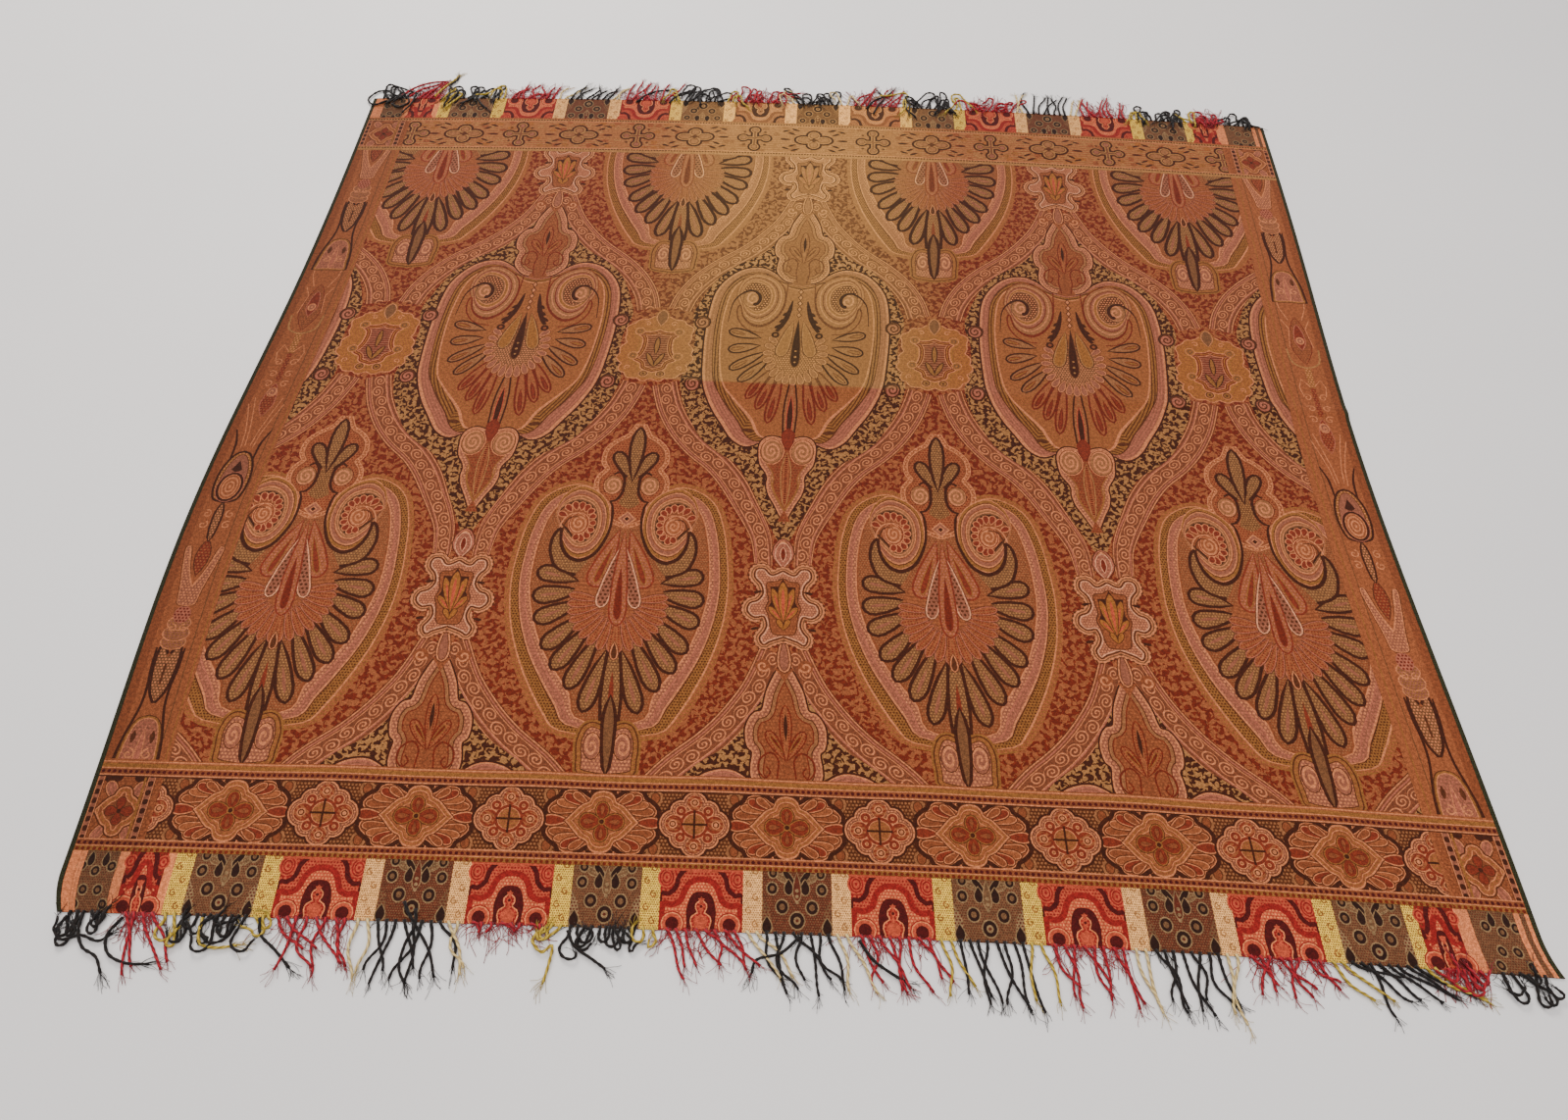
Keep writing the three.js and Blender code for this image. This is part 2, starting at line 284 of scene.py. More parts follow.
# %% [markdown]
# A loom draws with a few dyed yarns. These are the dyes, in the words a dyer would use, and the
# figures are the small textures that fill a shape: coral sprigs, fine lines, stipple, beads, rings,
# spirals, the veins of a leaf and running scrolls. A shape is one dye, or two dyes and a figure.

# %% Dyes and figures
DYES = {name: linear(*rgb) for name, rgb in {
    "rust": (105, 54, 27), "orange": (120, 65, 34), "coral": (86, 26, 9), "madder": (98, 35, 17),
    "pink": (116, 67, 46), "rose": (135, 75, 54), "light": (161, 97, 60), "dark": (50, 19, 5),
    "umber": (68, 32, 11), "olive": (88, 52, 26), "moss": (92, 58, 32), "gold": (114, 71, 29),
    "shell": (174, 117, 84), "tan": (130, 88, 47), "saffron": (124, 74, 27), "cream": (202, 152, 90),
    "straw": (194, 162, 58), "crimson": (112, 22, 17), "flame": (148, 60, 37), "maroon": (60, 10, 8),
    "salmon": (180, 104, 62), "walnut": (88, 61, 37), "brick": (74, 31, 17), "ink": (33, 15, 8),
    "bottle": (36, 42, 20), "cocoa": (94, 49, 27), "ecru": (109, 86, 56), "back": (75, 47, 25),
    "fawn": (118, 74, 42), }.items()}
FIGURES = {"plain": 0, "coral": 1, "lines": 2, "stipple": 3, "beads": 4, "rings": 5, "spiral": 6,
           "veins": 7, "scrolls": 8}
print(len(DYES), "dyes and", len(FIGURES), "figures")

# %% [markdown]
# Every outline comes from a few points, joined by a smooth curve. Discs, leaves and ribbons are made by
# rule, and any outline can grow or shrink to give it a rim. All of this is flat, in millimetres.

# %% Curves for the drawing
def curve(points, closed=False, steps=6):
    """A smooth line through a few given points."""
    p = np.array(points, float)
    n = len(p)
    pad = np.vstack([p[-1], p, p[0], p[1]]) if closed else np.vstack([2 * p[0] - p[1], p,
                                                                      2 * p[-1] - p[-2]])
    t = np.linspace(0, 1, steps, endpoint=False)[:, None]
    made = []
    for i in range(n if closed else n - 1):
        a, b, c, d = pad[i:i + 4]
        made.append(0.5 * (2 * b + (c - a) * t + (2 * a - 5 * b + 4 * c - d) * t ** 2
                           + (3 * b - a - 3 * c + d) * t ** 3))
    return np.vstack(made if closed else made + [p[-1:]])


def arc(centre, radius, start, end, steps=16, grow=0.0):
    """A circular arc or, with grow, a spiral, in degrees from the x direction."""
    t = np.linspace(0, 1, steps)
    a = np.radians(start + (end - start) * t)
    r = radius + grow * t
    return np.stack([centre[0] + r * np.cos(a), centre[1] + r * np.sin(a)], 1)


def disc(centre, radius, steps=14, squash=1.0):
    ring = arc((0, 0), radius, 0, 360, steps + 1)[:-1]
    return ring * (1, squash) + centre


def leaf(root, tip, width, belly=0.6, sharp=0.0, steps=7):
    """A petal from root to tip, widest at belly, with a round tip unless it is sharp."""
    root, tip = np.array(root, float), np.array(tip, float)
    along = tip - root
    side = np.array([-along[1], along[0]]) / (np.hypot(*along) + 1e-9)
    up = np.linspace(0, 1, 4)[1:]
    turn = np.radians(np.linspace(0, 90, max(3, steps - 2)))[1:]
    s = np.concatenate([belly * up, belly + (1 - belly) * np.sin(turn)])
    w = width / 2 * np.concatenate([np.sin(up * math.pi / 2) ** 1.1,
                                    np.maximum(np.cos(turn), 0) ** (1 + sharp)])
    left = root + along * s[:, None] + side * w[:, None]
    right = root + along * s[:, None] - side * w[:, None]
    return np.vstack([root[None], left, right[-2::-1]])


def ribbon(line, width):
    """The outline of a band of this width along a line."""
    line = np.array(line, float)
    way = np.gradient(line, axis=0)
    side = np.stack([-way[:, 1], way[:, 0]], 1) / (np.hypot(way[:, 0], way[:, 1])[:, None] + 1e-9)
    half = np.broadcast_to(np.asarray(width, float) / 2, len(line))[:, None]
    return np.vstack([line + side * half, (line - side * half)[::-1]])


def grown(outline, by):
    """The outline moved outwards by this many millimetres, for a rim round a shape."""
    p = np.array(outline, float)
    area = np.sum(p[:, 0] * np.roll(p[:, 1], -1) - np.roll(p[:, 0], -1) * p[:, 1])
    way = np.roll(p, -1, 0) - np.roll(p, 1, 0)
    out = np.stack([way[:, 1], -way[:, 0]], 1) / (np.hypot(way[:, 0], way[:, 1])[:, None] + 1e-9)
    return p + out * by * (1 if area > 0 else -1)


def stepped(loop, closed, longest=26.0):
    """The same line with long straight parts cut up, so that they can follow the lie of the cloth."""
    made = []
    for i, (a, b) in enumerate(zip(loop, np.roll(loop, -1, 0))):
        last = i == len(loop) - 1
        count = 1 if last and not closed else max(1,
                                                  math.ceil(math.hypot(b[0] - a[0], b[1] - a[1]) / longest))
        made.extend((a[0] + (b[0] - a[0]) * t / count,
                     a[1] + (b[1] - a[1]) * t / count) for t in range(count))
    return made


# %% [markdown]
# A `Draft` is the weaver's drawing of one repeat. Shapes are laid over each other like cut paper, and
# then one triangulation cuts them all along each other's edges. Every triangle takes the dye of the
# shape that lies on top there. Most of these patterns mirror from column to column, so half a repeat is
# enough, and copies of it share their edge points.

# %% A draft, cut into faces
class Draft:
    def __init__(self, low, high, ground, grid=23.0, cuts=()):
        self.low, self.high, self.grid, self.cuts = np.array(low), np.array(high), grid, cuts
        self.shapes = []
        self.at()
        self.lay([low, (high[0], low[1]), high, (low[0], high[1])], *ground)

    def at(self, axis=0.0, side=1, lift=0.0, up=1):
        """Draw from here on beside this axis, to its right (1) or left (-1), and this much higher."""
        self.origin, self.side = np.array([axis, lift]), np.array([side, up], float)

    def lay(self, outline, dye, figure="plain", second="dark", pitch=4.0, way=None):
        outline = np.array(outline, float) * self.side + self.origin
        self.shapes.append((outline, dye, figure, second, pitch, way, self.origin, self.side))

    def rimmed(self, outline, rims, *fill, **more):
        """A shape with rims round it: rims are (millimetres, dye) from the outside in."""
        reach = sum(width for width, _ in rims)
        for width, dye in rims:
            self.lay(grown(outline, reach), dye)
            reach -= width
        self.lay(outline, *fill, **more)

    def contours(self, outline, rows):
        """The outline laid again and again: rows are (millimetres outwards, dye, figure and so on)."""
        for reach, *look in rows:
            self.lay(grown(outline, reach), *look)

    def band(self, line, width, dye, figure="plain", second="dark", pitch=4.0):
        way = by_line(line) if figure in ("lines", "beads", "scrolls") else None
        self.lay(ribbon(line, width), dye, figure, second, pitch, way)

    def petal(self, root, tip, width, rims, dye, figure="veins", second="tan", pitch=4.5, belly=0.7,
              sharp=0.0, steps=6):
        shape = leaf(root, tip, width, belly, sharp, steps)
        self.rimmed(shape, rims, dye, figure, second, pitch, way=by_axis(root, tip))

    def spot(self, centre, radius, rims, dye, figure, second, pitch, tall=1.0, steps=14):
        shape = disc(centre, radius, steps, tall)
        self.rimmed(shape, rims, dye, figure, second, pitch, way=lambda p: (p - centre) / (1, tall))

    def cut(self):
        """Cut all the shapes along each other's edges and keep the top one's look for each face."""
        points, edges = [], []
        def add(loop, closed=True):
            loop = stepped(loop, closed)
            first = len(points)
            points.extend(loop)
            edges.extend((first + i, first + i + 1) for i in range(len(loop) - 1))
            if closed:
                edges.append((first + len(loop) - 1, first))
        (x0, y0), (x1, y1) = self.low, self.high
        across = np.linspace(x0, x1, max(2, round((x1 - x0) / self.grid) + 1))
        along = np.linspace(y0, y1, max(2, round((y1 - y0) / self.grid) + 1))
        for x in (x0, x1, *self.cuts):
            add([(x, y) for y in along], closed=False)
        for y in (y0, y1):
            add([(x, y) for x in across], closed=False)
        points.extend((x, y) for x in across[1:-1] for y in along[1:-1])
        for outline, *_ in self.shapes[1:]:
            if (outline.min(0) < self.high).all() and (outline.max(0) > self.low).all():
                add(outline)
        flat, _, faces, *_ = delaunay_2d_cdt([Vector(p) for p in points], edges, [], 0, 0.01, False)
        flat, faces = np.array([tuple(p) for p in flat]), np.array(faces)
        for axis, exact in ((0, (x0, x1, *self.cuts)), (1, (y0, y1))):
            for value in exact:
                flat[np.abs(flat[:, axis] - value) < 0.03, axis] = value
        middle = flat[faces].mean(1)
        a, b, c = (flat[faces[:, i]] for i in range(3))
        area = np.abs((b[:, 0] - a[:, 0]) * (c[:, 1] - a[:, 1]) - (b[:, 1] - a[:, 1]) * (c[:, 0] - a[:, 0]))
        kept = ((middle > self.low) & (middle < self.high)).all(1) & (area > 1e-9)
        faces, middle = faces[kept], middle[kept]
        top = np.zeros(len(faces), int)
        for i, (outline, *_) in enumerate(self.shapes):
            near = np.flatnonzero(((middle >= outline.min(0)) & (middle <= outline.max(0))).all(1))
            a, b = outline, np.roll(outline, -1, 0)
            p = middle[near][:, None]
            spans = (a[:, 1] > p[..., 1]) != (b[:, 1] > p[..., 1])
            rise = np.where(b[:, 1] == a[:, 1], 1e-12, b[:, 1] - a[:, 1])
            hit = p[..., 0] < a[:, 0] + (p[..., 1] - a[:, 1]) / rise * (b[:, 0] - a[:, 0])
            top[near[(spans & hit).sum(1) % 2 == 1]] = i
        way = flat[faces].copy()
        for i in np.unique(top):
            way_of, origin, side = self.shapes[i][5:]
            if way_of is not None:
                mine = np.flatnonzero(top == i)
                own = (flat[faces[mine]].reshape(-1, 2) - origin) * side
                way[mine] = way_of(own).reshape(-1, 3, 2)
        looks = np.array([(*DYES[s[1]], *DYES[s[3]], FIGURES[s[2]], s[4]) for s in self.shapes])
        return Cloth(flat, faces, way, looks[top]).tidied()


def by_axis(root, tip):
    """How far along the axis of a petal each point lies and how far beside it."""
    root, way = np.array(root, float), np.array(tip, float) - root
    way /= np.hypot(*way)
    return lambda p: np.stack([(p - root) @ way, (p - root) @ (-way[1], way[0])], 1)


def by_line(line):
    line = np.array(line, float)
    return lambda p: along_line(line, p)


def along_line(line, points):
    """For each point, how far along a line it lies and how far beside it."""
    a, b = line[:-1], line[1:]
    d = b - a
    size = np.hypot(d[:, 0], d[:, 1]) + 1e-9
    start = np.concatenate([[0], np.cumsum(size)[:-1]])
    rest = points[:, None] - a
    t = np.clip((rest * d).sum(2) / size ** 2, 0, 1)
    off = rest - t[..., None] * d
    best = np.argmin((off ** 2).sum(2), 1)
    rows = np.arange(len(points))
    side = (d[best, 0] * rest[rows, best, 1] - d[best, 1] * rest[rows, best, 0]) / size[best]
    return np.stack([start[best] + t[rows, best] * size[best], side], 1)


class Cloth:
    """Flat faces with their looks: places of points, three points a face, yarn way, dye and figure."""
    def __init__(self, flat, faces, way, looks):
        self.flat, self.faces, self.way, self.looks = flat, faces, way, looks

    def copies(self, low, high, axis, first, count):
        """Copies side by side, each the mirror of the last, cut off at low and high across the cloth."""
        width = self.flat[:, 0].max() - self.flat[:, 0].min()
        x0 = self.flat[:, 0].min()
        flats, faces, ways, looks = [], [], [], []
        used = np.zeros(len(self.flat), bool)
        used[np.unique(self.faces)] = True
        last_ids = None
        total = 0
        for k in range(first, first + count):
            mirrored = k % 2 != 0
            t = self.flat[:, 0] - x0
            x = axis + k * width + (width - t if mirrored else t)
            shared = np.abs(t - (width if mirrored else 0)) < 1e-3
            ids = np.full(len(t), -1)
            new = used & ~(shared if last_ids is not None else np.zeros(len(t), bool))
            ids[new] = total + np.arange(new.sum())
            if last_ids is not None:
                ids[shared & used] = last_ids[shared & used]
            flats.append(np.stack([x[new], self.flat[new, 1]], 1))
            total += new.sum()
            middle = x[self.faces].mean(1)
            kept = (middle > low) & (middle < high)
            f, w = ids[self.faces[kept]], self.way[kept]
            if mirrored:
                f, w = f[:, ::-1], w[:, ::-1]
            faces.append(f)
            ways.append(w)
            looks.append(self.looks[kept])
            last_ids = ids
        return Cloth(np.vstack(flats), np.vstack(faces), np.vstack(ways), np.vstack(looks)).tidied()

    def tidied(self):
        used, faces = np.unique(self.faces, return_inverse=True)
        return Cloth(self.flat[used], faces.reshape(-1, 3), self.way, self.looks)


# %% [markdown]
# A cut draft becomes a closed shell: the drawn faces on top, a rim round the outline and a coarse back
# that rests on the floor. The dyes, the figure and the way of the yarns are stored on the faces, where
# the finish reads them.

# %% From a draft to a shell on its solid
SKIN, BACK_CLEAR = 0.25, 0.1
BACK_GRID = 60


def outline_of(faces):
    """The ring of points round the faces, in order."""
    pairs = np.vstack([faces[:, [0, 1]], faces[:, [1, 2]], faces[:, [2, 0]]])
    key = pairs.min(1) * (faces.max() + 1) + pairs.max(1)
    _, first, count = np.unique(key, return_index=True, return_counts=True)
    rim = pairs[first[count == 1]]
    following = dict(zip(rim[:, 0].tolist(), rim[:, 1].tolist()))
    ring = [int(rim[0, 0])]
    while following[ring[-1]] != ring[0]:
        ring.append(following[ring[-1]])
    return np.array(ring)


def normals_at(x, y, step=2.0):
    slope_x = (relief(x + step, y) - relief(x - step, y)) / (2 * step)
    slope_y = (relief(x, y + step) - relief(x, y - step)) / (2 * step)
    n = np.stack([-slope_x, -slope_y, np.ones_like(x)], 1)
    return n / np.linalg.norm(n, axis=1)[:, None]


def shell(name, cloth, material, nodes):
    """The closed piece: the cloth a skin above its solid, a rim, and a back just off the floor."""
    flat, faces = cloth.flat, cloth.faces
    a, b, c = (flat[faces[:, i]] for i in range(3))
    turned = (b[:, 0] - a[:, 0]) * (c[:, 1] - a[:, 1]) - (b[:, 1] - a[:, 1]) * (c[:, 0] - a[:, 0]) < 0
    faces, way = faces.copy(), cloth.way.copy()
    faces[turned], way[turned] = faces[turned][:, ::-1], way[turned][:, ::-1]
    ring = outline_of(faces)
    low, high = flat.min(0), flat.max(0)
    spots = [(x, y) for x in np.arange(low[0] + 45, high[0] - 30, BACK_GRID)
             for y in np.arange(low[1] + 45, high[1] - 30, BACK_GRID)]
    loop = [tuple(p) for p in flat[ring]]
    edges = [(i, (i + 1) % len(loop)) for i in range(len(loop))]
    back_flat, _, back_faces, origin, *_ = delaunay_2d_cdt(
        [Vector(p) for p in loop + spots], edges, [], 1, 1e-5, True)
    back_flat, back_faces = np.array([tuple(p) for p in back_flat]), np.array(back_faces)[:, ::-1]
    row_of = {source: i for i, sources in enumerate(origin) for source in sources}
    n, r = len(flat), len(ring)
    under = n + np.array([row_of[i] for i in range(r)])
    ahead = np.roll(np.arange(r), -1)
    rim = np.vstack([np.stack([ring[ahead], ring, under], 1),
                     np.stack([ring[ahead], under, under[ahead]], 1)])
    all_faces = np.vstack([faces, rim, n + back_faces])
    x, y = np.concatenate([flat[:, 0], back_flat[:, 0]]), np.concatenate([flat[:, 1], back_flat[:, 1]])
    z = relief(x, y) + np.where(np.arange(len(x)) < n, WALL + SKIN, BACK_CLEAR)
    places = np.stack([*laid(x, y), z], 1) * MM
    mesh = bpy.data.meshes.new(name)
    mesh.from_pydata(places.tolist(), [], all_faces.tolist())
    plain = (*DYES["back"], *DYES["umber"], FIGURES["stipple"], 3.0)
    looks = np.vstack([cloth.looks, np.tile(plain, (len(all_faces) - len(faces), 1))])
    flat_all = np.stack([x, y], 1)
    ways = np.vstack([way, flat_all[all_faces[len(faces):]]]).reshape(-1, 2)
    for attribute, kind, domain, values in (
            ("dye", "FLOAT_VECTOR", "FACE", looks[:, 0:3]),
            ("second", "FLOAT_VECTOR", "FACE", looks[:, 3:6]), ("figure", "FLOAT", "FACE", looks[:, 6]),
            ("pitch", "FLOAT", "FACE", looks[:, 7]),
            ("way", "FLOAT_VECTOR", "CORNER", np.column_stack([ways, np.zeros(len(ways))])),
            ("woven", "FLOAT_VECTOR", "POINT", np.column_stack([flat_all, np.zeros(len(x))]))):
        layer = mesh.attributes.new(attribute, kind, domain)
        layer.data.foreach_set("vector" if kind == "FLOAT_VECTOR" else "value", values.ravel())
    mesh.polygons.foreach_set("use_smooth", [True] * len(all_faces))
    mesh.validate()
    normals = normals_at(x, y)
    normals[n:] *= -1
    mesh.normals_split_custom_set_from_vertices(normals.tolist())
    piece = bpy.data.objects.new(name, mesh)
    scene.collection.objects.link(piece)
    mesh.materials.append(material)
    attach(piece, "root")
    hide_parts(*nodes)
    print(name, len(all_faces), "faces")
    return piece


# %% [markdown]
# The finish of the woven wool. Each face already knows its dye, so the nodes add what a loom adds:
# figures inside shapes, the diagonal of the twill, yarns a little lighter and darker than each other,
# and the slow change of colour over the years. The nodes also paint light: a gentle falloff that
# leaves the near end and the right side brighter and the left border darker. The weft changes at the
# old fold, and the cloth above it has faded to a yellowish tan, most of all in its middle.

# %% The woven finish
WORN_MIDDLE, WORN_REACH = -30.0, 310.0
WORN_MOST, WORN_LEAST = 0.74, 0.02
YARN_MEAN = (0.93, 0.88, 0.9)
TWILL_PITCH = 1.5


def figure_marks(start, woven, figure, pitch):
    """1 where a figure has its second dye, from the places on the cloth and along the shapes."""
    x, y, _ = woven.axes()
    along, across, _ = read(start, "way", 1).axes()

    def only(name):
        return (figure - FIGURES[name]).size() < 0.5
    wander = start.out("ShaderNodeTexNoise", {"noise_dimensions": "2D"}, Vector=woven, Detail=1.0,
                       Scale=0.62 / pitch, Distortion=0.5)
    sprigs = (wander > 0.5) * only("coral")
    rows = (across / pitch).part() < 0.42
    dashed = rows * ((along / (pitch * 0.8)).part() < 0.62) * only("veins")
    row = (y / pitch).whole()
    dot_x, dot_y = (x / pitch + row * 0.5).part() - 0.5, (y / pitch).part() - 0.5
    stipple = ((dot_x * dot_x + dot_y * dot_y) < 0.1) * only("stipple")
    bead_x, bead_y = (along / pitch).part() - 0.5, across / pitch
    beads = ((bead_x * bead_x + bead_y * bead_y) < 0.1) * only("beads")
    radius = (along * along + across * across).root()
    turn = across.angle(along)
    rings = ((radius / pitch).part() < 0.42) * only("rings")
    curls = ((radius / pitch.size() - turn * pitch.sign()).part() < 0.42) * only("spiral")
    cell = along / pitch
    flip = ((cell * 0.5).part() > 0.5) * 2 - 1
    cell_x, cell_y = (cell.part() - 0.5) * pitch / 1.35, across - flip * 2.5
    near = (cell_x * cell_x + cell_y * cell_y).root()
    bend = cell_y.angle(cell_x)
    scrolls = ((near / 4.6 - bend * flip).part() < 0.36) * (near < 9.2) * only("scrolls")
    wave = ((across + (cell * math.pi).sine() * 8.5).size() < 0.9) * (near > 9.2) * only("scrolls")
    return sprigs + rows * only("lines") + dashed + stipple + beads + rings + curls + scrolls + wave


def aged(start, woven, colour, shade):
    """The dyes dulled by the yarns and by the years, painted light and shade, and the fade to tan above the
    old fold.
    """
    x, y, _ = woven.axes()
    # Painted light: the near end, the near gates and the right side are painted a little brighter than
    # the rest, and the left border darker.
    painted_light_and_yarn_level = y.ramp(-450, 120, 1.05, 0.94) * y.ramp(-752, -744, 1.09, 1.0)
    painted_light_and_yarn_level = painted_light_and_yarn_level * x.ramp(-812, -796, 0.8, 1.0) * x.ramp(250, 800, 1.0, 1.05) * shade
    red, green, blue = YARN_MEAN
    colour = colour.mix(1.0, start.out("ShaderNodeCombineColor", i0=painted_light_and_yarn_level * red, i1=painted_light_and_yarn_level * green,
                                       i2=painted_light_and_yarn_level * blue), "MULTIPLY")
    middle = (x - WORN_MIDDLE) / WORN_REACH
    worn = (middle * middle).ramp(0.0, 1.0, WORN_MOST, WORN_LEAST) * (y - FOLD - x * FOLD_FALL).ramp(-3, 3)
    grey = start.out("ShaderNodeRGBToBW", Color=colour)
    # The faded tan is painted brighter towards the far end, as painted light.
    grey = (grey.ramp(0.008, 0.035, 0.005, 0.028) + grey * 0.86) * y.ramp(80, 600, 1.02, 1.38)
    tan = start.out("ShaderNodeCombineColor", i0=grey * 2.1, i1=grey, i2=grey * 0.26)
    return colour.mix(worn, tan)


def read(start, attribute, take):
    return start.out("ShaderNodeAttribute", {"attribute_name": attribute}, take=take)


def yarn_noise(start, woven, scale):
    return start.out("ShaderNodeTexNoise", {"noise_dimensions": "2D"}, Vector=woven, Scale=scale,
                     Detail=2.0)


def woven_material(name):
    material, start = new_material(name)
    woven = read(start, "woven", 1)
    marks = figure_marks(start, woven, read(start, "figure", 2), read(start, "pitch", 2))
    colour = read(start, "dye", 1).mix(marks, read(start, "second", 1))
    thread, cloudy = yarn_noise(start, woven, 0.6), yarn_noise(start, woven, 0.22)
    shade = thread.ramp(0.3, 0.7, 0.72, 1.28) * cloudy.ramp(0.3, 0.7, 0.8, 1.2)
    colour = aged(start, woven, colour, shade)
    x, y, _ = woven.axes()
    twill = ((x + y) * (2 * math.pi / TWILL_PITCH)).sine()
    bump = start.out("ShaderNodeBump", Height=twill * 0.5 + thread, Strength=0.25, Distance=0.0004)
    skin = start.node("ShaderNodeBsdfPrincipled", Base_Color=colour, Roughness=0.88, Normal=bump)
    skin.inputs["Sheen Weight"].default_value = 0.03
    skin.inputs["Sheen Roughness"].default_value = 0.5
    skin.inputs["Specular IOR Level"].default_value = 0.12
    output = start.node("ShaderNodeOutputMaterial")
    material.node_tree.links.new(skin.outputs[0], output.inputs[0])
    print(name, len(material.node_tree.nodes), "nodes")
    return material


field_wool = woven_material("field_wool")

# %% [markdown]
# The drawing follows the real cloth. Two kinds of palmette stand in staggered columns: a dark-edged one
# (here `crowned`) and one on a ground of dark sprigs (here `hearted`), tied by bands of scrolls, with a
# small cartouche where the bands meet. Half a column of each is enough for the whole field. Sizes are
# millimetres from a motif's own middle line, and the points are given one by one.

# %% Helpers for mirrored motifs
def mirrored(points):
    p = np.array(points, float)
    return np.vstack([p, p[::-1] * (-1, 1)])


def rounded(points, steps=3):
    """A smooth mirrored outline from points on its right side, top to bottom."""
    return mirrored(curve(points, steps=steps))


def nested(draft, outer, inner, bands, steps=3):
    """Bands between an outer and an inner outline, each starting at a share of the way in."""
    outer, inner = curve(outer, steps=steps), curve(inner, steps=steps)
    for share, dye, *rest in bands:
        draft.lay(mirrored(outer + (inner - outer) * share), dye, *rest, way=by_line(mirrored(outer)))


def curled(draft, outer, inner, bands, steps=2):
    """The same between two closed outlines, for a lobe that curls in."""
    outer, inner = curve(outer, True, steps), curve(inner, True, steps)
    for share, dye, *rest in bands:
        draft.lay(outer + (inner - outer) * share, dye, *rest)


def taper(draft, points, widths, dye, steps=3):
    """A line of changing width: a few widths, spread evenly along it."""
    line = curve(points, steps=steps)
    draft.band(line, np.interp(np.linspace(0, 1, len(line)), np.linspace(0, 1, len(widths)), widths), dye)


def hook(draft, x, y, radius, start, turn=430, width=2.6, dye="light", fill=None):
    """A scroll: a line that curls into its own middle."""
    if fill:
        draft.lay(disc((x, y), radius + 1.5), fill)
    steps = 13 if radius > 6 else 9
    draft.band(arc((x, y), radius, start, start + turn, steps, grow=-0.85 * radius), width, dye)


def scalloped(outline, size, depth):
    """The outline with small bumps along it, about this long and this deep."""
    p = np.array(stepped(outline, True, size / 3))
    walked = np.concatenate([[0], np.cumsum(np.hypot(*np.diff(p, axis=0).T))])
    return p + (grown(p, 1) - p) * (depth * np.abs(np.sin(walked / size * math.pi)))[:, None]


# %% The motif on a ground of dark sprigs
OGEE = [(0, 478), (14, 470), (31, 440), (50, 406), (64, 384), (86, 362), (116, 342), (134, 322),
        (150, 302), (160, 280), (168, 260), (174, 240), (180, 222), (180, 200), (175, 182), (171, 160),
        (172, 120), (176, 100), (182, 80), (184, 60), (180, 40), (174, 18), (166, 0), (157, -20),
        (146, -40), (132, -60), (110, -80), (82, -100), (67, -120), (56, -140), (46, -160), (38, -180),
        (29, -200), (20, -220), (9, -244), (0, -258)]
HEART = [(0, 300), (20, 305), (38, 313), (54, 326), (72, 335), (92, 334), (112, 325), (132, 304),
         (147, 275), (153, 240), (155, 200), (155, 160), (152, 110), (148, 70), (140, 40), (125, 5),
         (107, -25), (92, -50), (77, -64), (64, -68), (52, -64), (44, -60), (0, -58)]
HEART_GROUND = [(0, 280), (18, 285), (34, 296), (50, 308), (72, 314), (90, 314), (102, 302), (114, 286),
                (122, 262), (126, 232), (128, 200), (127, 160), (123, 110), (113, 62), (96, 36), (77, 12),
                (60, -10), (50, -34), (44, -44), (38, -48), (30, -50), (24, -50), (0, -50)]
HEART_CURL = [(82, 322), (60, 318), (42, 306), (29, 287), (25, 262), (29, 234), (41, 209), (62, 193),
              (82, 198), (96, 216), (103, 240), (112, 268), (104, 304)]
HEART_RING = [(84, 297), (69, 293), (59, 284), (54, 269), (55, 251), (61, 238), (72, 231), (80, 233),
              (88, 240), (94, 250), (98, 262), (100, 276), (94, 290)]
FINIAL = [(0, 498), (8, 488), (17, 470), (25, 450), (29, 430), (32, 422), (41, 419), (49, 408), (53, 395),
          (53, 380), (50, 368), (44, 361), (46, 345), (46, 328), (38, 314), (24, 302), (0, 298)]
BULB = [(0, -58), (10, -50), (25, -46), (37, -51), (44, -64), (44, -82), (41, -102), (31, -119), (28, -130),
        (29, -142), (25, -160), (16, -178), (8, -196), (0, -214)]
HEART_FAN = [(62, 166, 114, 180, 16), (62, 148, 111, 137, 17), (50, 134, 105, 94, 15),
             (43, 118, 88, 66, 15), (34, 100, 72, 32, 14), (28, 92, 54, 10, 14), (19, 88, 35, -18, 14)]


def draw_heart(draft):
    """The heart in its rings on a ground of dark sprigs, with the lobe that curls in to a black hook."""
    draft.lay(rounded(OGEE, 2), "dark", "coral", "tan", 4.2)
    draft.lay(grown(rounded(HEART), 3), "dark")
    nested(draft, HEART, HEART_GROUND, [
        (0.0, "light"), (0.12, "pink", "lines", "rose", 5), (0.5, "umber"),
        (0.55, "gold", "lines", "umber", 5.2), (0.9, "light"), (1.0, "orange", "stipple", "gold", 4.6)])
    curled(draft, HEART_CURL, HEART_RING, [
        (0, "coral"), (0.08, "fawn"), (0.26, "light"), (0.32, "fawn"), (0.44, "coral"), (0.5, "pink"),
        (0.62, "light"), (0.69, "gold"), (0.84, "light"), (0.9, "moss"),
        (1.0, "umber", "stipple", "light", 5)])
    draft.spot((82, 258), 16, [(2.5, "moss")], "fawn", "spiral", "light", 8, 1.3, 14)
    taper(draft, [(120, 200), (118, 232), (114, 252), (104, 268), (91, 277), (80, 276), (72, 268),
                  (70, 256), (74, 246), (79, 244)], [1.2, 2, 3.4, 5, 6, 6.5, 6], "dark")
    draft.lay(disc((77, 245), 4.5, 8), "dark")
    taper(draft, [(24, 300), (25, 262), (29, 234), (41, 209), (62, 192), (82, 197), (96, 216), (102, 242),
                  (107, 232), (104, 210), (92, 190), (76, 180), (58, 178)], [2, 2.8, 2.8, 3, 2.4, 2],
                  "coral")


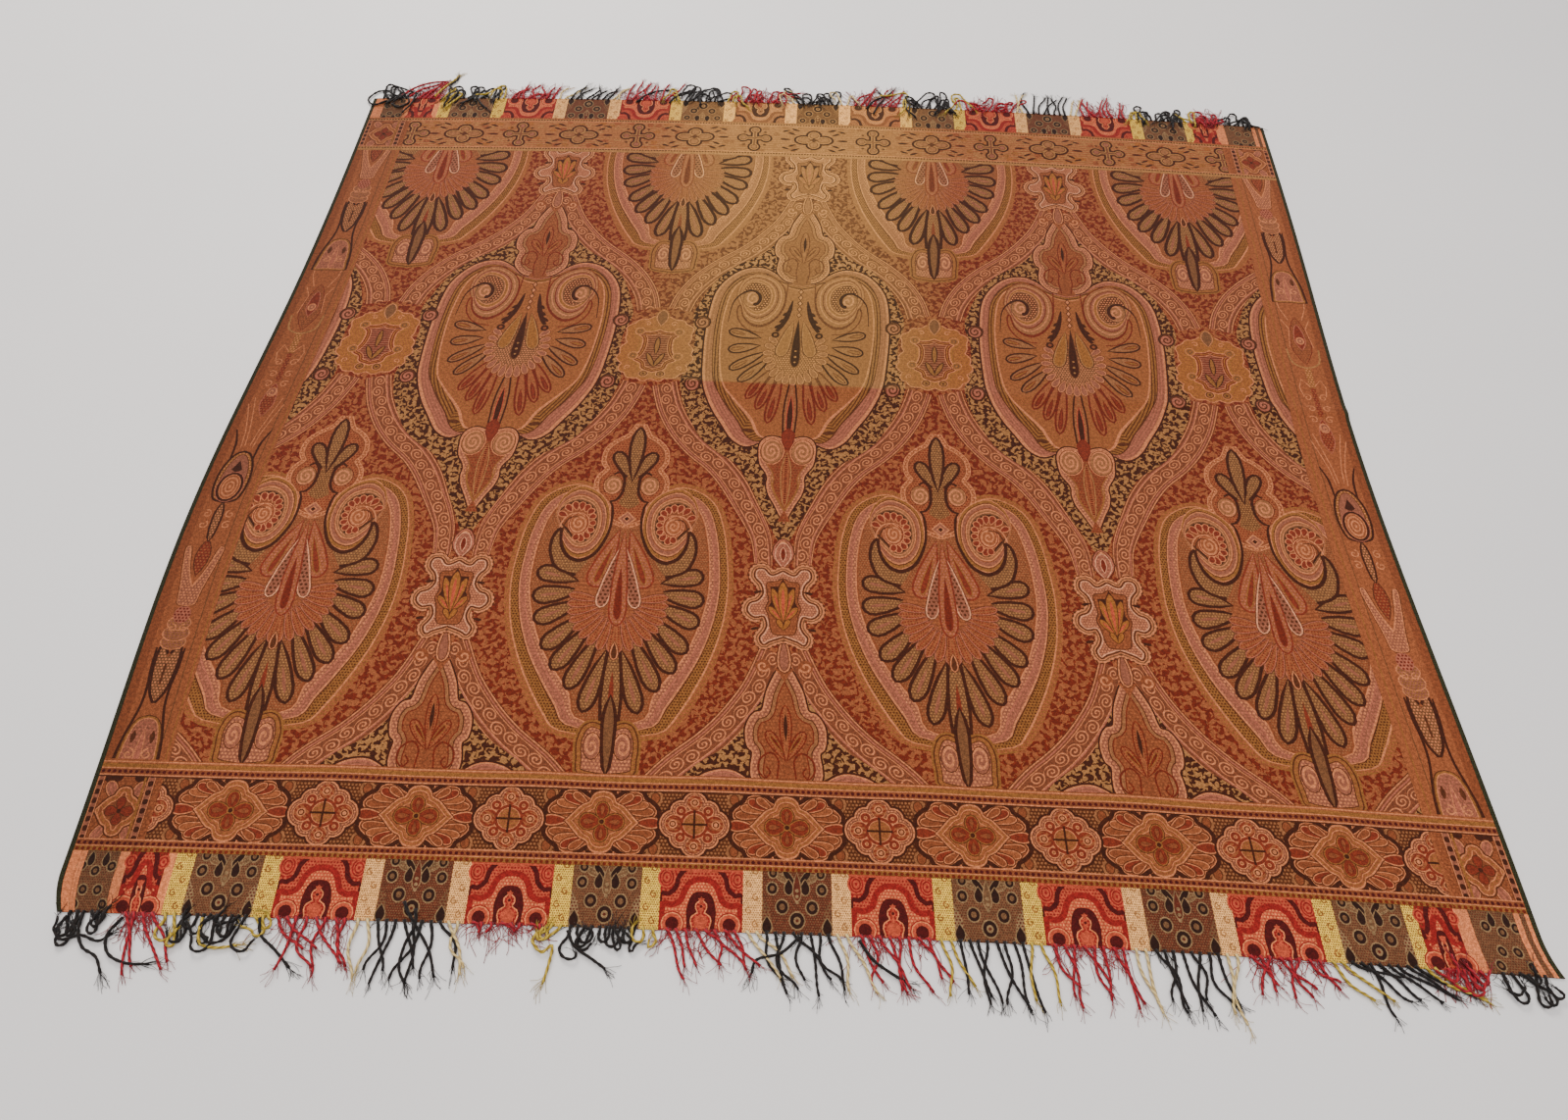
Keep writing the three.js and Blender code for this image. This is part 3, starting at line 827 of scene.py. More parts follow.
def draw_heart_fan(draft):
    """Slender petals, dark above the old fold and red below it, and the long petal in the middle."""
    for root_x, root_y, x, y, width in HEART_FAN:
        upper = y > 50
        draft.petal((root_x, root_y), (x, y), width, [(3.4, "dark" if upper else "coral")],
                    "fawn" if upper else "orange", "plain",
                    sharp=0.0 if upper else 0.2)
        middle = np.array([root_x, root_y]) * 0.5 + np.array([x, y]) * 0.5
        draft.petal(middle, np.array([x, y]) * 0.86 + middle * 0.14, width * 0.3, [(1.8, "coral")],
                    "gold" if upper else "madder", "plain", steps=5)
    draft.petal((0, 84), (0, -70), 19, [(3, "dark")], "orange", "veins", "fawn", 6, belly=0.55, sharp=0.4)
    draft.petal((0, 40), (0, -52), 9, [(1.4, "flame")], "dark", "plain", belly=0.5, sharp=0.5)


def draw_heart_drops(draft):
    """A ruff of small petals round a dark drop and two gold ones, and the chain above them."""
    draft.lay(disc((0, 122), 44, 20, 1.25), "moss", "stipple", "light", 4.4)
    for angle in range(-10, 126, 15):
        way = np.array([math.cos(math.radians(angle - 20)), -math.sin(math.radians(angle - 20))])
        draft.petal((0, 132) + way * (36, 44), (0, 132) + way * (53, 72), 9,
                    [(1.1, "umber"), (1.5, "light")], "pink", "plain", belly=0.7, steps=5)
    taper(draft, [(13, 256), (16, 236), (21, 214), (29, 194), (36, 182)], [2, 7, 9, 8, 6], "dark")
    for x, y in ((22, 226), (27, 210), (34, 196)):
        draft.lay(leaf((x - 5, y + 4), (x + 6, y - 7), 6, 0.6, steps=5), "dark")
    draft.rimmed(disc((37, 174), 3.2, 8), [(4, "dark")], "rust")
    draft.petal((9, 206), (26, 127), 17, [(1.6, "umber"), (2, "tan")], "gold", "veins", "saffron", 5,
                belly=0.82)
    draft.petal((0, 212), (0, 102), 15, [(1.6, "olive")], "dark", "plain", belly=0.82)
    for y, radius in ((138, 2), (125, 2.4), (113, 2)):
        draft.lay(disc((0, y), radius, 7), "tan")
    for y in range(222, 292, 14):
        draft.lay([(0, y + 8), (5, y), (0, y - 8), (-5, y)], "umber")
        draft.lay([(0, y + 5), (3, y), (0, y - 5), (-3, y)], "light")


def draw_finial(draft):
    """The three-lobed head."""
    whole = rounded(FINIAL)
    draft.rimmed(whole, [(2.4, "dark")], "light")
    draft.contours(whole, [(-2.4, "pink", "stipple", "light", 5), (-10, "umber"), (-11.6, "fawn"),
                           (-16, "coral"), (-17.6, "rust", "stipple", "orange", 5)])
    draft.lay(rounded([(0, 372), (5, 350), (4, 330), (9, 314), (16, 298), (0, 292)]), "rust")
    draft.petal((2, 352), (24, 392), 13, [(2, "coral")], "orange", "veins", "madder", 5)
    draft.petal((4, 362), (20, 386), 4, [(1.2, "gold")], "coral", "plain", steps=5)
    taper(draft, [(8, 300), (12, 326), (10, 350), (20, 362), (34, 352), (36, 336), (28, 326), (21, 334),
                  (26, 342)], [1.8, 2.8, 2.4, 2.2], "coral")
    draft.petal((0, 350), (0, 430), 14, [(2, "coral")], "orange", "veins", "madder", 5, belly=0.65,
                sharp=0.4)
    draft.lay(leaf((0, 378), (0, 418), 5.5, 0.5, 0.5), "dark")


def draw_bulb(draft):
    """The pointed foot below a pair of scrolls."""
    whole = rounded(BULB)
    draft.rimmed(whole, [(2.4, "dark")], "light")
    draft.lay(grown(whole, -2.4), "pink", "stipple", "light", 5)
    draft.lay(grown(whole, -9), "gold")
    draft.lay(grown(whole, -10.6), "rust", "stipple", "madder", 5)
    draft.spot((24, -76), 17, [(1.8, "light"), (1.2, "umber")], "fawn", "spiral", "light", 6.5, 1.4, 14)
    taper(draft, [(22, -122), (20, -146), (10, -172), (0, -190)], [1.6, 2.2], "gold")
    draft.petal((0, -78), (0, -182), 14, [(1.5, "tan")], "orange", "veins", "coral", 5, belly=0.4,
                sharp=0.4)
    draft.petal((0, -30), (0, -72), 18, [(2, "coral")], "madder", "plain", belly=0.3, sharp=0.5)


def draw_hearted(draft, lift):
    draft.at(AXIS_B, -1, lift)
    draw_heart(draft)
    draw_heart_fan(draft)
    draw_heart_drops(draft)
    draw_finial(draft)
    draw_bulb(draft)
    for y in (198, 58):
        draft.spot((163, y), 11, [(2, "dark"), (1.5, "umber")], "rose", "spiral", "umber", 6.5, 1.15, 12)


# %% [markdown]
# The crowned motif is a fan of fourteen dark-edged petals and a foot, with two curled lobes and a crown
# above it. Above the old fold the same motif comes again with heavier edges, cut off by the far border.

# %% The crowned motif
CROWNED = [(0, -170), (16, -172), (32, -172), (50, -162), (78, -152), (108, -162), (132, -186),
           (146, -230), (152, -275), (155, -330), (149, -390), (134, -445), (113, -495), (88, -540),
           (66, -562), (0, -570)]
CROWNED_GROUND = [(0, -196), (17, -196), (30, -195), (48, -187), (74, -180), (97, -188), (112, -212),
                  (121, -252), (125, -292), (125, -340), (115, -388), (96, -440), (72, -478), (54, -506),
                  (45, -540), (0, -552)]
CROWNED_CURL = [(78, -155), (58, -159), (40, -172), (28, -192), (24, -220), (27, -248), (39, -275),
                (62, -289), (80, -281), (91, -262), (97, -236), (106, -206), (99, -174)]
CROWNED_RING = [(76, -187), (62, -190), (52, -199), (47, -214), (47, -234), (54, -250), (66, -257),
                (75, -250), (80, -241), (88, -232), (97, -222), (102, -208), (91, -193)]
CROWNED_FAN = [(61, -326, 116, -311, 28), (56, -343, 118, -354, 29), (54, -362, 112, -393, 28),
               (47, -384, 97, -437, 27), (36, -400, 81, -469, 26), (23, -416, 59, -498, 25),
               (11, -440, 36, -531, 24)]


def draw_crown(draft):
    """Three dark leaves in a halo, over a small diamond."""
    halo = rounded([(0, -34), (12, -58), (26, -68), (40, -84), (42, -106), (34, -122), (46, -140),
                    (46, -160), (36, -176), (24, -186), (22, -210), (0, -222)])
    draft.contours(halo, [(10, "light"), (8.4, "orange", "stipple", "light", 5), (4, "light"),
                          (2.6, "rust"), (0, "orange", "stipple", "madder", 4.4)])
    draft.spot((28, -152), 14, [(1.2, "umber")], "fawn", "spiral", "light", 6.4, 1.25, 14)
    taper(draft, [(29, -132), (21, -127), (13, -136), (11, -152), (13, -168), (20, -180), (29, -183)],
          [3, 4.6, 4.6, 4.6, 3], "dark")
    draft.petal((3, -140), (29, -90), 16, [(4.6, "dark")], "moss", "stipple", "tan", 4.4, belly=0.76)
    draft.lay(rounded([(0, -112), (7, -122), (9, -150), (10, -170), (16, -186), (0, -196)], 2), "olive",
              "stipple", "tan", 4)
    draft.petal((0, -142), (0, -40), 18, [(4.6, "dark")], "moss", "stipple", "tan", 4.4, belly=0.66,
                sharp=0.4)
    for reach, dye in ((14, "light"), (11, "pink"), (6, "light"), (4, "dark")):
        draft.lay([(0, -214 + reach), (reach, -214), (0, -214 - reach), (-reach, -214)], dye)


def draw_crowned_fan(draft, edge):
    """The rings, the fourteen petals in them and the middle one."""
    draft.lay(grown(rounded(CROWNED), 7), "gold")
    nested(draft, CROWNED, CROWNED_GROUND, [
        (-0.21, "orange", "stipple", "gold", 5), (0, "light"), (0.06, "gold", "stipple", "umber", 4.2),
        (0.38, "umber"), (0.42, "light"), (0.48, "pink", "stipple", "rose", 5), (0.68, "rose"),
        (0.73, "pink", "stipple", "light", 5), (0.9, "light"), (0.96, "rust"),
        (1.04, "rust", "stipple", "fawn", 4)])
    for root_x, root_y, x, y, width in CROWNED_FAN:
        draft.petal((root_x, root_y), (x, y), width - 2 * edge + 4, [(edge, "dark")], "moss", "stipple",
                    "tan", 4.4, belly=0.78, sharp=0.0 if y > -400 else 0.35)
        middle = np.array([root_x, root_y]) * 0.6 + np.array([x, y]) * 0.4
        draft.lay(leaf(middle, np.array([x, y]) * 0.8 + middle * 0.2, 5, 0.6, steps=5), "pink")
    draft.petal((0, -400), (0, -606), 23, [(edge, "dark")], "moss", "stipple", "tan", 4.4, belly=0.55,
                sharp=0.7)
    draft.lay(leaf((0, -470), (0, -545), 7, 0.5, 0.4), "madder")


def draw_tear_drops(draft):
    """Loops round the foot of the tear drops, and the drops."""
    draft.lay(disc((0, -362), 66, 24, 1.08), "orange", "rings", "rust", 6)
    for angle in range(-8, 101, 12):
        way = np.array([math.sin(math.radians(angle)), -math.cos(math.radians(angle))])
        draft.petal((0, -362) + way * 26, (0, -362) + way * (70 + 10 * way[1] ** 2), 11.5,
                    [(1, "umber"), (1.4, "rose")], "orange", "veins", "madder", 5, steps=5)
    draft.petal((0, -426), (0, -452), 8, [(1.2, "umber"), (1.8, "light")], "umber", "plain", steps=5)
    draft.petal((8, -236), (37, -334), 28, [(3, "madder")], "orange", "stipple", "rose", 5, belly=0.82)
    draft.petal((14, -262), (35, -328), 8, [(1.6, "gold")], "madder", "plain", belly=0.8)
    draft.petal((3, -262), (25, -368), 15, [(1.2, "umber"), (2.2, "shell")], "pink", "stipple", "umber",
                6.5, belly=0.86)
    draft.petal((0, -236), (0, -398), 22, [(2.6, "madder")], "orange", "stipple", "rose", 5, belly=0.84,
                sharp=0.1)
    draft.petal((0, -300), (0, -388), 9, [(1.4, "madder")], "coral", "plain", belly=0.84)


def draw_curled_lobe(draft):
    """The curled lobe with its red scallops, and the dark horn that ends in the first petal."""
    curled(draft, CROWNED_CURL, CROWNED_RING, [
        (0, "light"), (0.06, "gold"), (0.2, "umber"), (0.25, "light"), (0.32, "pink"), (0.5, "rust"),
        (0.56, "light"), (0.63, "fawn"), (0.74, "light"), (0.79, "moss"), (0.88, "dark"), (1.0, "rust")])
    ring = curve([(103, -212), (91, -193), (76, -187), (62, -190), (52, -199), (47, -214), (47, -234),
                  (54, -250), (66, -257), (77, -250)], steps=4)
    for p in ring[1::3]:
        inner = p * 0.62 + np.array((69, -223)) * 0.38
        draft.petal(inner, p * 1.04 - np.array((69, -223)) * 0.04, 8.6, [(1.5, "light")], "madder",
                    "plain", belly=0.66, steps=5)
    draft.spot((70, -225), 13.5, [(1.4, "light"), (1.3, "coral")], "orange", "spiral", "light", 6, 1.3, 14)
    taper(draft, [(62, -212), (72, -206), (86, -210), (95, -224), (98, -244)], [1.6, 2.2, 2.2], "light")
    taper(draft, [(70, -214), (82, -214), (90, -226), (92, -244)], [1.6, 2.2, 2.2], "umber")
    inside = curve([(94, -234), (93, -250), (89, -268), (79, -284), (64, -292), (48, -290)], steps=3)
    outside = curve([(64, -316), (82, -311), (95, -302), (102, -288), (106, -270), (105, -255), (101, -242),
                     (94, -234)], steps=3)
    draft.lay(np.vstack([inside, outside]), "moss", "stipple", "tan", 4.4)
    draft.band(outside, 4.8, "dark")
    taper(draft, [(29, -182), (24, -192), (22, -210), (23, -232), (28, -252), (38, -274), (50, -286),
                  (64, -291), (79, -284), (89, -268), (93, -250), (94, -234)],
                  [3, 4, 4, 5, 6.5, 6.5, 5, 4], "dark")


def draw_foot(draft, edge):
    """The pair of scrolls at the foot, with the point of the middle petal between them."""
    foot = rounded([(0, -552), (8, -548), (22, -544), (36, -552), (44, -574), (43, -600), (38, -624),
                    (0, -632)])
    draft.contours(foot, [(0, "gold"), (-3, "umber"), (-5, "gold", "stipple", "orange", 4), (-10, "umber"),
                          (-11.4, "pink", "stipple", "light", 5)])
    draft.spot((20, -582), 11, [(1.4, "umber")], "pink", "spiral", "light", 6.4, 1.7, 12)
    draft.petal((0, -510), (0, -620), 13, [(edge, "dark")], "moss", "plain", belly=0.36, sharp=0.6)


def draw_crowned(draft, lift):
    draft.at(AXIS_A, 1, lift)
    edge = 4.6 if lift == 0 else 5.8
    draw_crowned_fan(draft, edge)
    draw_tear_drops(draft)
    draw_crown(draft)
    draw_curled_lobe(draft)
    draw_foot(draft, edge)


# %% [markdown]
# What ties the motifs together: two bands of running scrolls, a pink cartouche where they meet, and an
# orange one between the hearts. Each band is one line with a width, laid a few times ever narrower.

# %% Cartouches and scroll bands
PINK_CARTOUCHE = [(0, 64), (12, 57), (20, 58), (27, 67), (37, 66), (39, 54), (30, 42), (27, 26), (35, 13),
                  (46, 8), (49, -4), (40, -13), (27, -11), (22, -26), (26, -38), (32, -47), (28, -57),
                  (20, -52), (0, -44)]
ORANGE_CARTOUCHE = [(0, 62), (14, 60), (32, 54), (48, 44), (54, 28), (50, 10), (56, -10), (60, -26),
                    (54, -44), (50, -60), (36, -72), (16, -78), (0, -78)]
ORANGE_SHIELD = [(0, 36), (10, 31), (26, 30), (33, 36), (38, 30), (34, 20), (27, 12), (27, -8), (32, -22),
                 (40, -28), (34, -38), (24, -44), (20, -56), (0, -64)]
SCROLL_BAND = [(14, 512), (30, 472), (46, 441), (74, 402), (105, 369), (144, 336), (174, 302), (196, 262),
               (206, 226)]
LOWER_BAND = [(208, 56), (202, 34), (190, 0), (168, -40), (140, -74), (107, -104), (80, -140), (59, -180),
              (42, -215), (32, -245), (28, -290)]


def draw_band(draft, points, lift):
    draft.at(AXIS_B, -1, lift)
    line = curve(points, steps=3)
    narrow = np.interp(line[:, 1], (-300, -150), (0.6, 1))
    for width, dye, *figure in ((42, "umber"), (39.5, "light"), (36, "cocoa"),
                                (33, "cocoa", "lines", "rose", 4.6), (24, "light"),
                                (21.5, "cocoa", "scrolls", "light", 23)):
        draft.band(line, width * narrow, dye, *figure)


def draw_pink_cartouche(draft, lift):
    draft.at(AXIS_B, -1, lift)
    hook(draft, 29, -92, 9, 200, 400, 3, "light", fill="rust")
    draft.petal((0, -50), (0, -98), 12, [(1.5, "umber"), (2.2, "light"), (1.2, "umber")], "pink", "plain")
    for reach, dye in ((12, "umber"), (10, "rose"), (7, "umber"), (5.4, "light")):
        draft.petal((0, 74 - reach / 2), (0, 116 + reach * 0.6), 22 + 2 * reach - 11, [], dye, "plain",
                    belly=0.5, sharp=0.2)
    draft.petal((0, 72), (0, 114), 22, [(1.6, "shell")], "pink", "stipple", "rose", 5, belly=0.5)
    draft.petal((0, 82), (0, 106), 7, [(1.4, "shell")], "coral", "plain", steps=5, belly=0.5)
    whole = rounded(PINK_CARTOUCHE)
    for reach, dye in ((9.5, "umber"), (8, "light"), (6.4, "moss"), (4.4, "light"), (2.8, "umber")):
        edge = grown(whole, reach)
        draft.lay(scalloped(edge, 7, 2) if reach > 7 else edge, dye)
    for x, y in ((38, 30), (42, -31)):
        draft.lay(leaf((x - 10, y), (x + 4, y - 3), 5, 0.6, steps=5), "dark")
    draft.lay(whole, "shell")
    draft.lay(grown(whole, -2), "pink", "stipple", "light", 4)
    inner = rounded([(0, 52), (10, 46), (22, 44), (22, 30), (20, 14), (24, 2), (20, -12), (18, -28),
                     (14, -40), (0, -42)])
    draft.rimmed(inner, [(1.6, "umber")], "rust", "stipple", "orange", 5)
    draft.lay(mirrored([(0, 52), (7, 38), (18, 38), (17, 12), (22, 2), (14, -10), (6, -24), (0, -28)]),
              "dark")
    for x, y, width in ((20, 4, 9), (15, 35, 10), (0, 46, 14)):
        draft.petal((0, -22), (x, y), width, [(1.3, "umber")], "saffron", "plain", belly=0.66, sharp=0.3)
        draft.lay(leaf((0, -20), (x * 0.84, -22 + (y + 22) * 0.84), width * 0.36, 0.66, 0.4, steps=5),
                  "flame")
    draft.petal((0, -34), (8, -17), 7, [(1.4, "umber")], "saffron", "plain", steps=5)


def draw_orange_cartouche(draft, lift):
    draft.at(AXIS_A, 1, lift)
    whole = rounded(ORANGE_CARTOUCHE)
    lobed = scalloped(whole, 24, 6)
    draft.lay(lobed, "light")
    draft.lay(grown(lobed, -2), "saffron", "stipple", "orange", 5)
    for x, y, radius, start in ((22, 48, 6, 30), (42, -52, 6, 300)):
        hook(draft, x, y, radius, start, 400, 1.8, "light")
    draft.petal((0, 44), (0, 80), 18, [(2, "gold"), (1.4, "light")], "moss", "plain", belly=0.55, sharp=0.2)
    shield = rounded(ORANGE_SHIELD)
    draft.contours(shield, [(5, "gold"), (3.4, "saffron"), (0, "light"), (-2.2, "coral"),
                            (-4.4, "saffron"), (-6.4, "coral"), (-8.4, "light"),
                            (-9.8, "pink", "lines", "coral", 5)])
    for x, y in ((33, 30), (37, -26)):
        draft.spot((x, y), 7.5, [(1.4, "light")], "moss", "rings", "saffron", 5, 1, 10)
    draft.spot((14, -66), 7, [(1.4, "light")], "gold", "rings", "umber", 5, 1, 10)
    draft.petal((0, -22), (0, 16), 7, [(1.8, "dark")], "gold", "plain", belly=0.5, sharp=0.4)
    draft.petal((0, -50), (14, -20), 7, [(1.8, "dark")], "gold", "plain", belly=0.5, sharp=0.4)


# %% [markdown]
# One half column of the field, from the near border to the far one, and its seven mirrored copies. The
# real weaving repeats so closely that a copy is truer than a fresh drawing.

# %% Weave the field
AXIS_A, AXIS_B = 0.0, 232.5
FIELD_MIDDLE, REPEAT = -12.0, 945.0
LEFT_PART, RIGHT_PART = 92.5 - SEAM / 2, 110.5 - SEAM / 2
COLUMNS = 8

field_draft = Draft((AXIS_A, NEAR_FIELD + SEAM / 2), (AXIS_B, FAR_FIELD - SEAM / 2),
                    ("orange", "coral", "coral", 4.8), cuts=(LEFT_PART, RIGHT_PART))
for lift in (0.0, REPEAT, -REPEAT):
    for band_points in (SCROLL_BAND, LOWER_BAND):
        draw_band(field_draft, band_points, lift)
for lift in (-REPEAT, 0.0):
    draw_hearted(field_draft, lift)
for lift in (0.0, REPEAT):
    draw_crowned(field_draft, lift)
for lift in (-363.0, -363.0 + REPEAT):
    draw_pink_cartouche(field_draft, lift)
draw_orange_cartouche(field_draft, 143.0)
column = field_draft.cut()
print("half a column", len(column.faces), "faces")
field_cloth = column.copies(LEFT_FIELD + SEAM / 2, RIGHT_FIELD - SEAM / 2,
                            FIELD_MIDDLE - 4 * AXIS_B + AXIS_B, -1, COLUMNS)
field_piece = shell("figured_field", field_cloth, field_wool, ["field"])

# %% [markdown]
# Two end borders close the field. The near one is dark and rich, with a cross and a lobed rosette taking
# turns; the far one came out of the same loom much paler, with drawn outlines on tan. Fine beaded guard
# lines run along both. These motifs are few enough to be drawn one by one.

# %% Near end border
def quarters(points):
    """A shape mirrored both ways from its first quarter, from the top point to the right one."""
    p = np.array(points, float)
    return mirrored(np.vstack([p, p[::-1] * (1, -1)]))


def guard(draft, y, width, dye, figure="plain", second="dark", pitch=4.0):
    x0, x1 = draft.low[0] - 5, draft.high[0] + 5
    line = np.stack([np.linspace(x0, x1, 40), np.full(40, float(y))], 1)
    draft.at()
    draft.band(line, width, dye, figure, second, pitch)


def draw_cross(draft, x, y):
    draft.at(x, 1, y)
    lobes = [((25, 0), 18), ((-25, 0), 18), ((0, 26), 15), ((0, -26), 15)]
    corners = [((17, 17), 13), ((-17, 17), 13), ((17, -17), 13), ((-17, -17), 13)]
    for reach, dye, *figure in ((4, "dark"), (1, "light"), (-1.2, "umber"),
                                (-2.2, "pink", "stipple", "light", 4), (-4.6, "umber"), (-5.4, "light"),
                                (-6.8, "madder"), (-10.5, "light"),
                                (-11.6, "orange", "stipple", "gold", 4)):
        for centre, radius in lobes + corners:
            draft.lay(disc(centre, radius + reach, 18), dye, *figure)
        draft.lay(disc((0, 0), 25 + reach, 18), dye, *figure)
    for centre, radius in lobes:
        draft.lay(disc(np.array(centre, float) * 1.08, 9.5, 14), "orange", "rings", "madder", 5.5)
        draft.rimmed(disc(np.array(centre, float) * 1.08, 2.6, 9), [(1.6, "light"), (1.6, "umber")],
                     "light")
    draft.band([(-16, 0), (16, 0)], 2.8, "dark")
    draft.band([(0, -18), (0, 18)], 2.8, "dark")


ROSETTE = [(0, 38), (8, 36), (13, 31), (16, 24), (24, 20), (31, 13), (38, 5), (43, 0)]
ACANTHUS = [(13, 26), (22, 32), (29, 37), (39, 40), (48, 37), (51, 30), (60, 24), (67, 16), (64, 8),
            (52, 5), (40, 6), (28, 14), (18, 20)]


def draw_rosette(draft, x, y):
    draft.at(x, 1, y)
    for up in (1, -1):
        draft.lay(disc((0, up * 41), 18, 16, 0.45), "dark")
        for side in (1, -1):
            flip = np.array((side, up), float)
            draft.rimmed(disc(flip * (25, 41), 6, 9, 0.8), [(1.4, "light"), (1.4, "rust")], "pink")
            shape = curve(ACANTHUS, True, 2) * flip
            draft.contours(shape, [(7, "dark"), (1.2, "light"), (0, "rust")])
            for root, tip, width, dye in (((20, 16), (64, 14), 10, "rust"),
                                          ((20, 18), (57, 24), 9, "orange"),
                                          ((18, 20), (48, 33), 10, "madder"),
                                          ((18, 22), (37, 36), 8, "rust")):
                draft.petal(root * flip, tip * flip, width, [(1.4, "umber"), (1.2, "light")], dye, "plain",
                            belly=0.74)
    for side in (1, -1):
        draft.petal((side * 42, 0), (side * 72, 0), 12, [(1.3, "umber"), (1.6, "light")], "madder", "plain")
    whole = quarters(curve(ROSETTE, steps=3))
    for share, dye, *figure in ((1.12, "umber"), (1.08, "light"), (1.02, "orange", "stipple", "gold", 4),
                                (0.9, "light"), (0.86, "rust"), (0.82, "orange", "stipple", "gold", 4),
                                (0.7, "light"), (0.66, "orange")):
        draft.lay(whole * share, dye, *figure)
    for tip, width in (((0, 25), 15), ((0, -25), 15), ((27, 0), 20), ((-27, 0), 20)):
        draft.petal((0, 0), tip, width, [(1.2, "umber"), (1.2, "gold")], "madder", "plain", belly=0.62)
        draft.petal(np.multiply(tip, 0.3), np.multiply(tip, 0.86), width * 0.34, [(1.3, "coral")], "rust",
                    "plain", steps=5)
    draft.rimmed(disc((0, 0), 3, 10), [(1.6, "gold")], "dark")


NEAR_MIDDLE, NEAR_PITCH = -684.0, 231.6
near_border = Draft((LEFT_FIELD + SEAM / 2, NEAR_GATE + SEAM / 2),
                    (RIGHT_FIELD - SEAM / 2, NEAR_FIELD - SEAM / 2), ("umber", "stipple", "fawn", 4.6),
                    grid=18)
for k in range(-4, 5):
    middle = FIELD_MIDDLE - 0.5 + k * NEAR_PITCH
    near_border.at(middle, 1, NEAR_MIDDLE)
    for side in (-1, 1):
        for y in (33, -33):
            near_border.rimmed(disc((side * 66, y), 5, 10, 1.3), [(3, "fawn"), (1.4, "umber")], "rust")
for k in range(-4, 4):
    draw_rosette(near_border, FIELD_MIDDLE - 0.5 + k * NEAR_PITCH, NEAR_MIDDLE)
for k in range(-4, 4):
    draw_cross(near_border, FIELD_MIDDLE - 0.5 + (k + 0.5) * NEAR_PITCH, NEAR_MIDDLE)
NEAR_GUARDS = [
    (-625, 12, "orange"), (-622.5, 1.8, "light"), (-628, 6, "gold"), (-631.5, 1.8, "light"),
    (-636, 7.5, "rust", "beads", "maroon", 7), (-640.6, 2, "light"), (-642.4, 1.6, "dark"),
    (-725.5, 2, "light"), (-730, 7.5, "rust", "beads", "maroon", 7), (-733.6, 1.5, "light"),
    (-737.5, 6.5, "gold", "beads", "coral", 7)]
for y, width, dye, *figure in NEAR_GUARDS:
    guard(near_border, y, width, dye, *figure)
near_piece = shell("near_end_border", near_border.cut(), field_wool, ["end_border_near"])


# %% [markdown]
# The far border alternates a cross with a lobed quatrefoil over a ground of small leaves, whose dyes
# are drawn by lot from a fixed seed.

# %% Far end border
def draw_outlined(draft, x, y, kind):
    draft.at(x, 1, y)
    if kind == "cross":
        for reach, dye in ((4, "dark"), (0, "tan"), (-2.4, "umber"), (-3.6, "pink")):
            for centre in ((22, 0), (-22, 0), (0, 26), (0, -26)):
                draft.lay(disc(centre, 9 + reach, 12), dye)
            draft.lay(ribbon([(-18, 0), (18, 0)], 8 + 2 * reach), dye)
            draft.lay(ribbon([(0, -20), (0, 20)], 8 + 2 * reach), dye)
        for spot in ((20, 20), (-20, 20), (20, -20), (-20, -20)):
            draft.lay(disc(spot, 3, 8), "umber")
        return
    for reach, dye in ((4.4, "dark"), (0, "tan"), (-3, "umber"), (-4.4, "fawn")):
        for side in (1, -1):
            draft.lay(disc((side * 19, 0), 16 + reach, 16, (11 + reach) / (16 + reach)), dye)
            draft.lay(disc((0, side * 14), 12 + reach, 14), dye)
    draft.lay([(0, 6), (9, 0), (0, -6), (-9, 0)], "umber")
    for side in (1, -1):
        for up in (1, -1):
            for root, tip in (((34, 14), (50, 22)), ((26, 26), (44, 34)), ((46, 30), (62, 24))):
                flip = (side, up)
                draft.lay(leaf(np.multiply(root, flip), np.multiply(tip, flip), 5, 0.6), "dark")
        draft.lay(leaf((side * 44, 0), (side * 66, 0), 5.4, 0.6), "dark")


far_border = Draft((LEFT_FIELD + SEAM / 2, FAR_FIELD + SEAM / 2),
                   (RIGHT_FIELD - SEAM / 2, FAR_GATE - SEAM / 2), ("orange", "lines", "tan", 6.0), grid=18)
far_colours = np.random.default_rng(7)
for x in np.arange(-790, 790, 19.0):
    for y in (661, 679, 715, 732):
        spot = far_colours.uniform(-6, 6, 2) + (x, y)
        dye = far_colours.choice(["tan", "saffron", "tan", "rust", "gold"])
        far_border.lay(disc(spot, 7, 8, 0.8), str(dye), "stipple", "orange", 5)
for x in (-690, -467, -240, -7, 224, 452, 680):
    draw_outlined(far_border, x, 697, "quatrefoil")
for x in (-790, -580, -352, -123, 109, 340, 567, 790):
    draw_outlined(far_border, x, 697, "cross")
FAR_GUARDS = [
    (648.5, 7, "tan"), (653, 5, "tan", "beads", "dark", 5.5), (656.6, 1.8, "light"), (738, 1.8, "light"),
    (742, 5, "tan", "beads", "dark", 5.5), (746.4, 4, "orange")]
for y, width, dye, *figure in FAR_GUARDS:
    guard(far_border, y, width, dye, *figure)
far_piece = shell("far_end_border", far_border.cut(), field_wool, ["end_border_far"])


# %% [markdown]
# Down each side runs a narrow strip of tall thin motifs between two plain stripes: spindles, bells and
# flames, drawn up one column. The two sides mirror each other.

# %% Side borders
SIDE_MIDDLE = 39.0


def both(*points):
    """The same line on the left and on the right of the middle."""
    return [[(tip * x, y) for x, y in points] for tip in (-1, 1)]


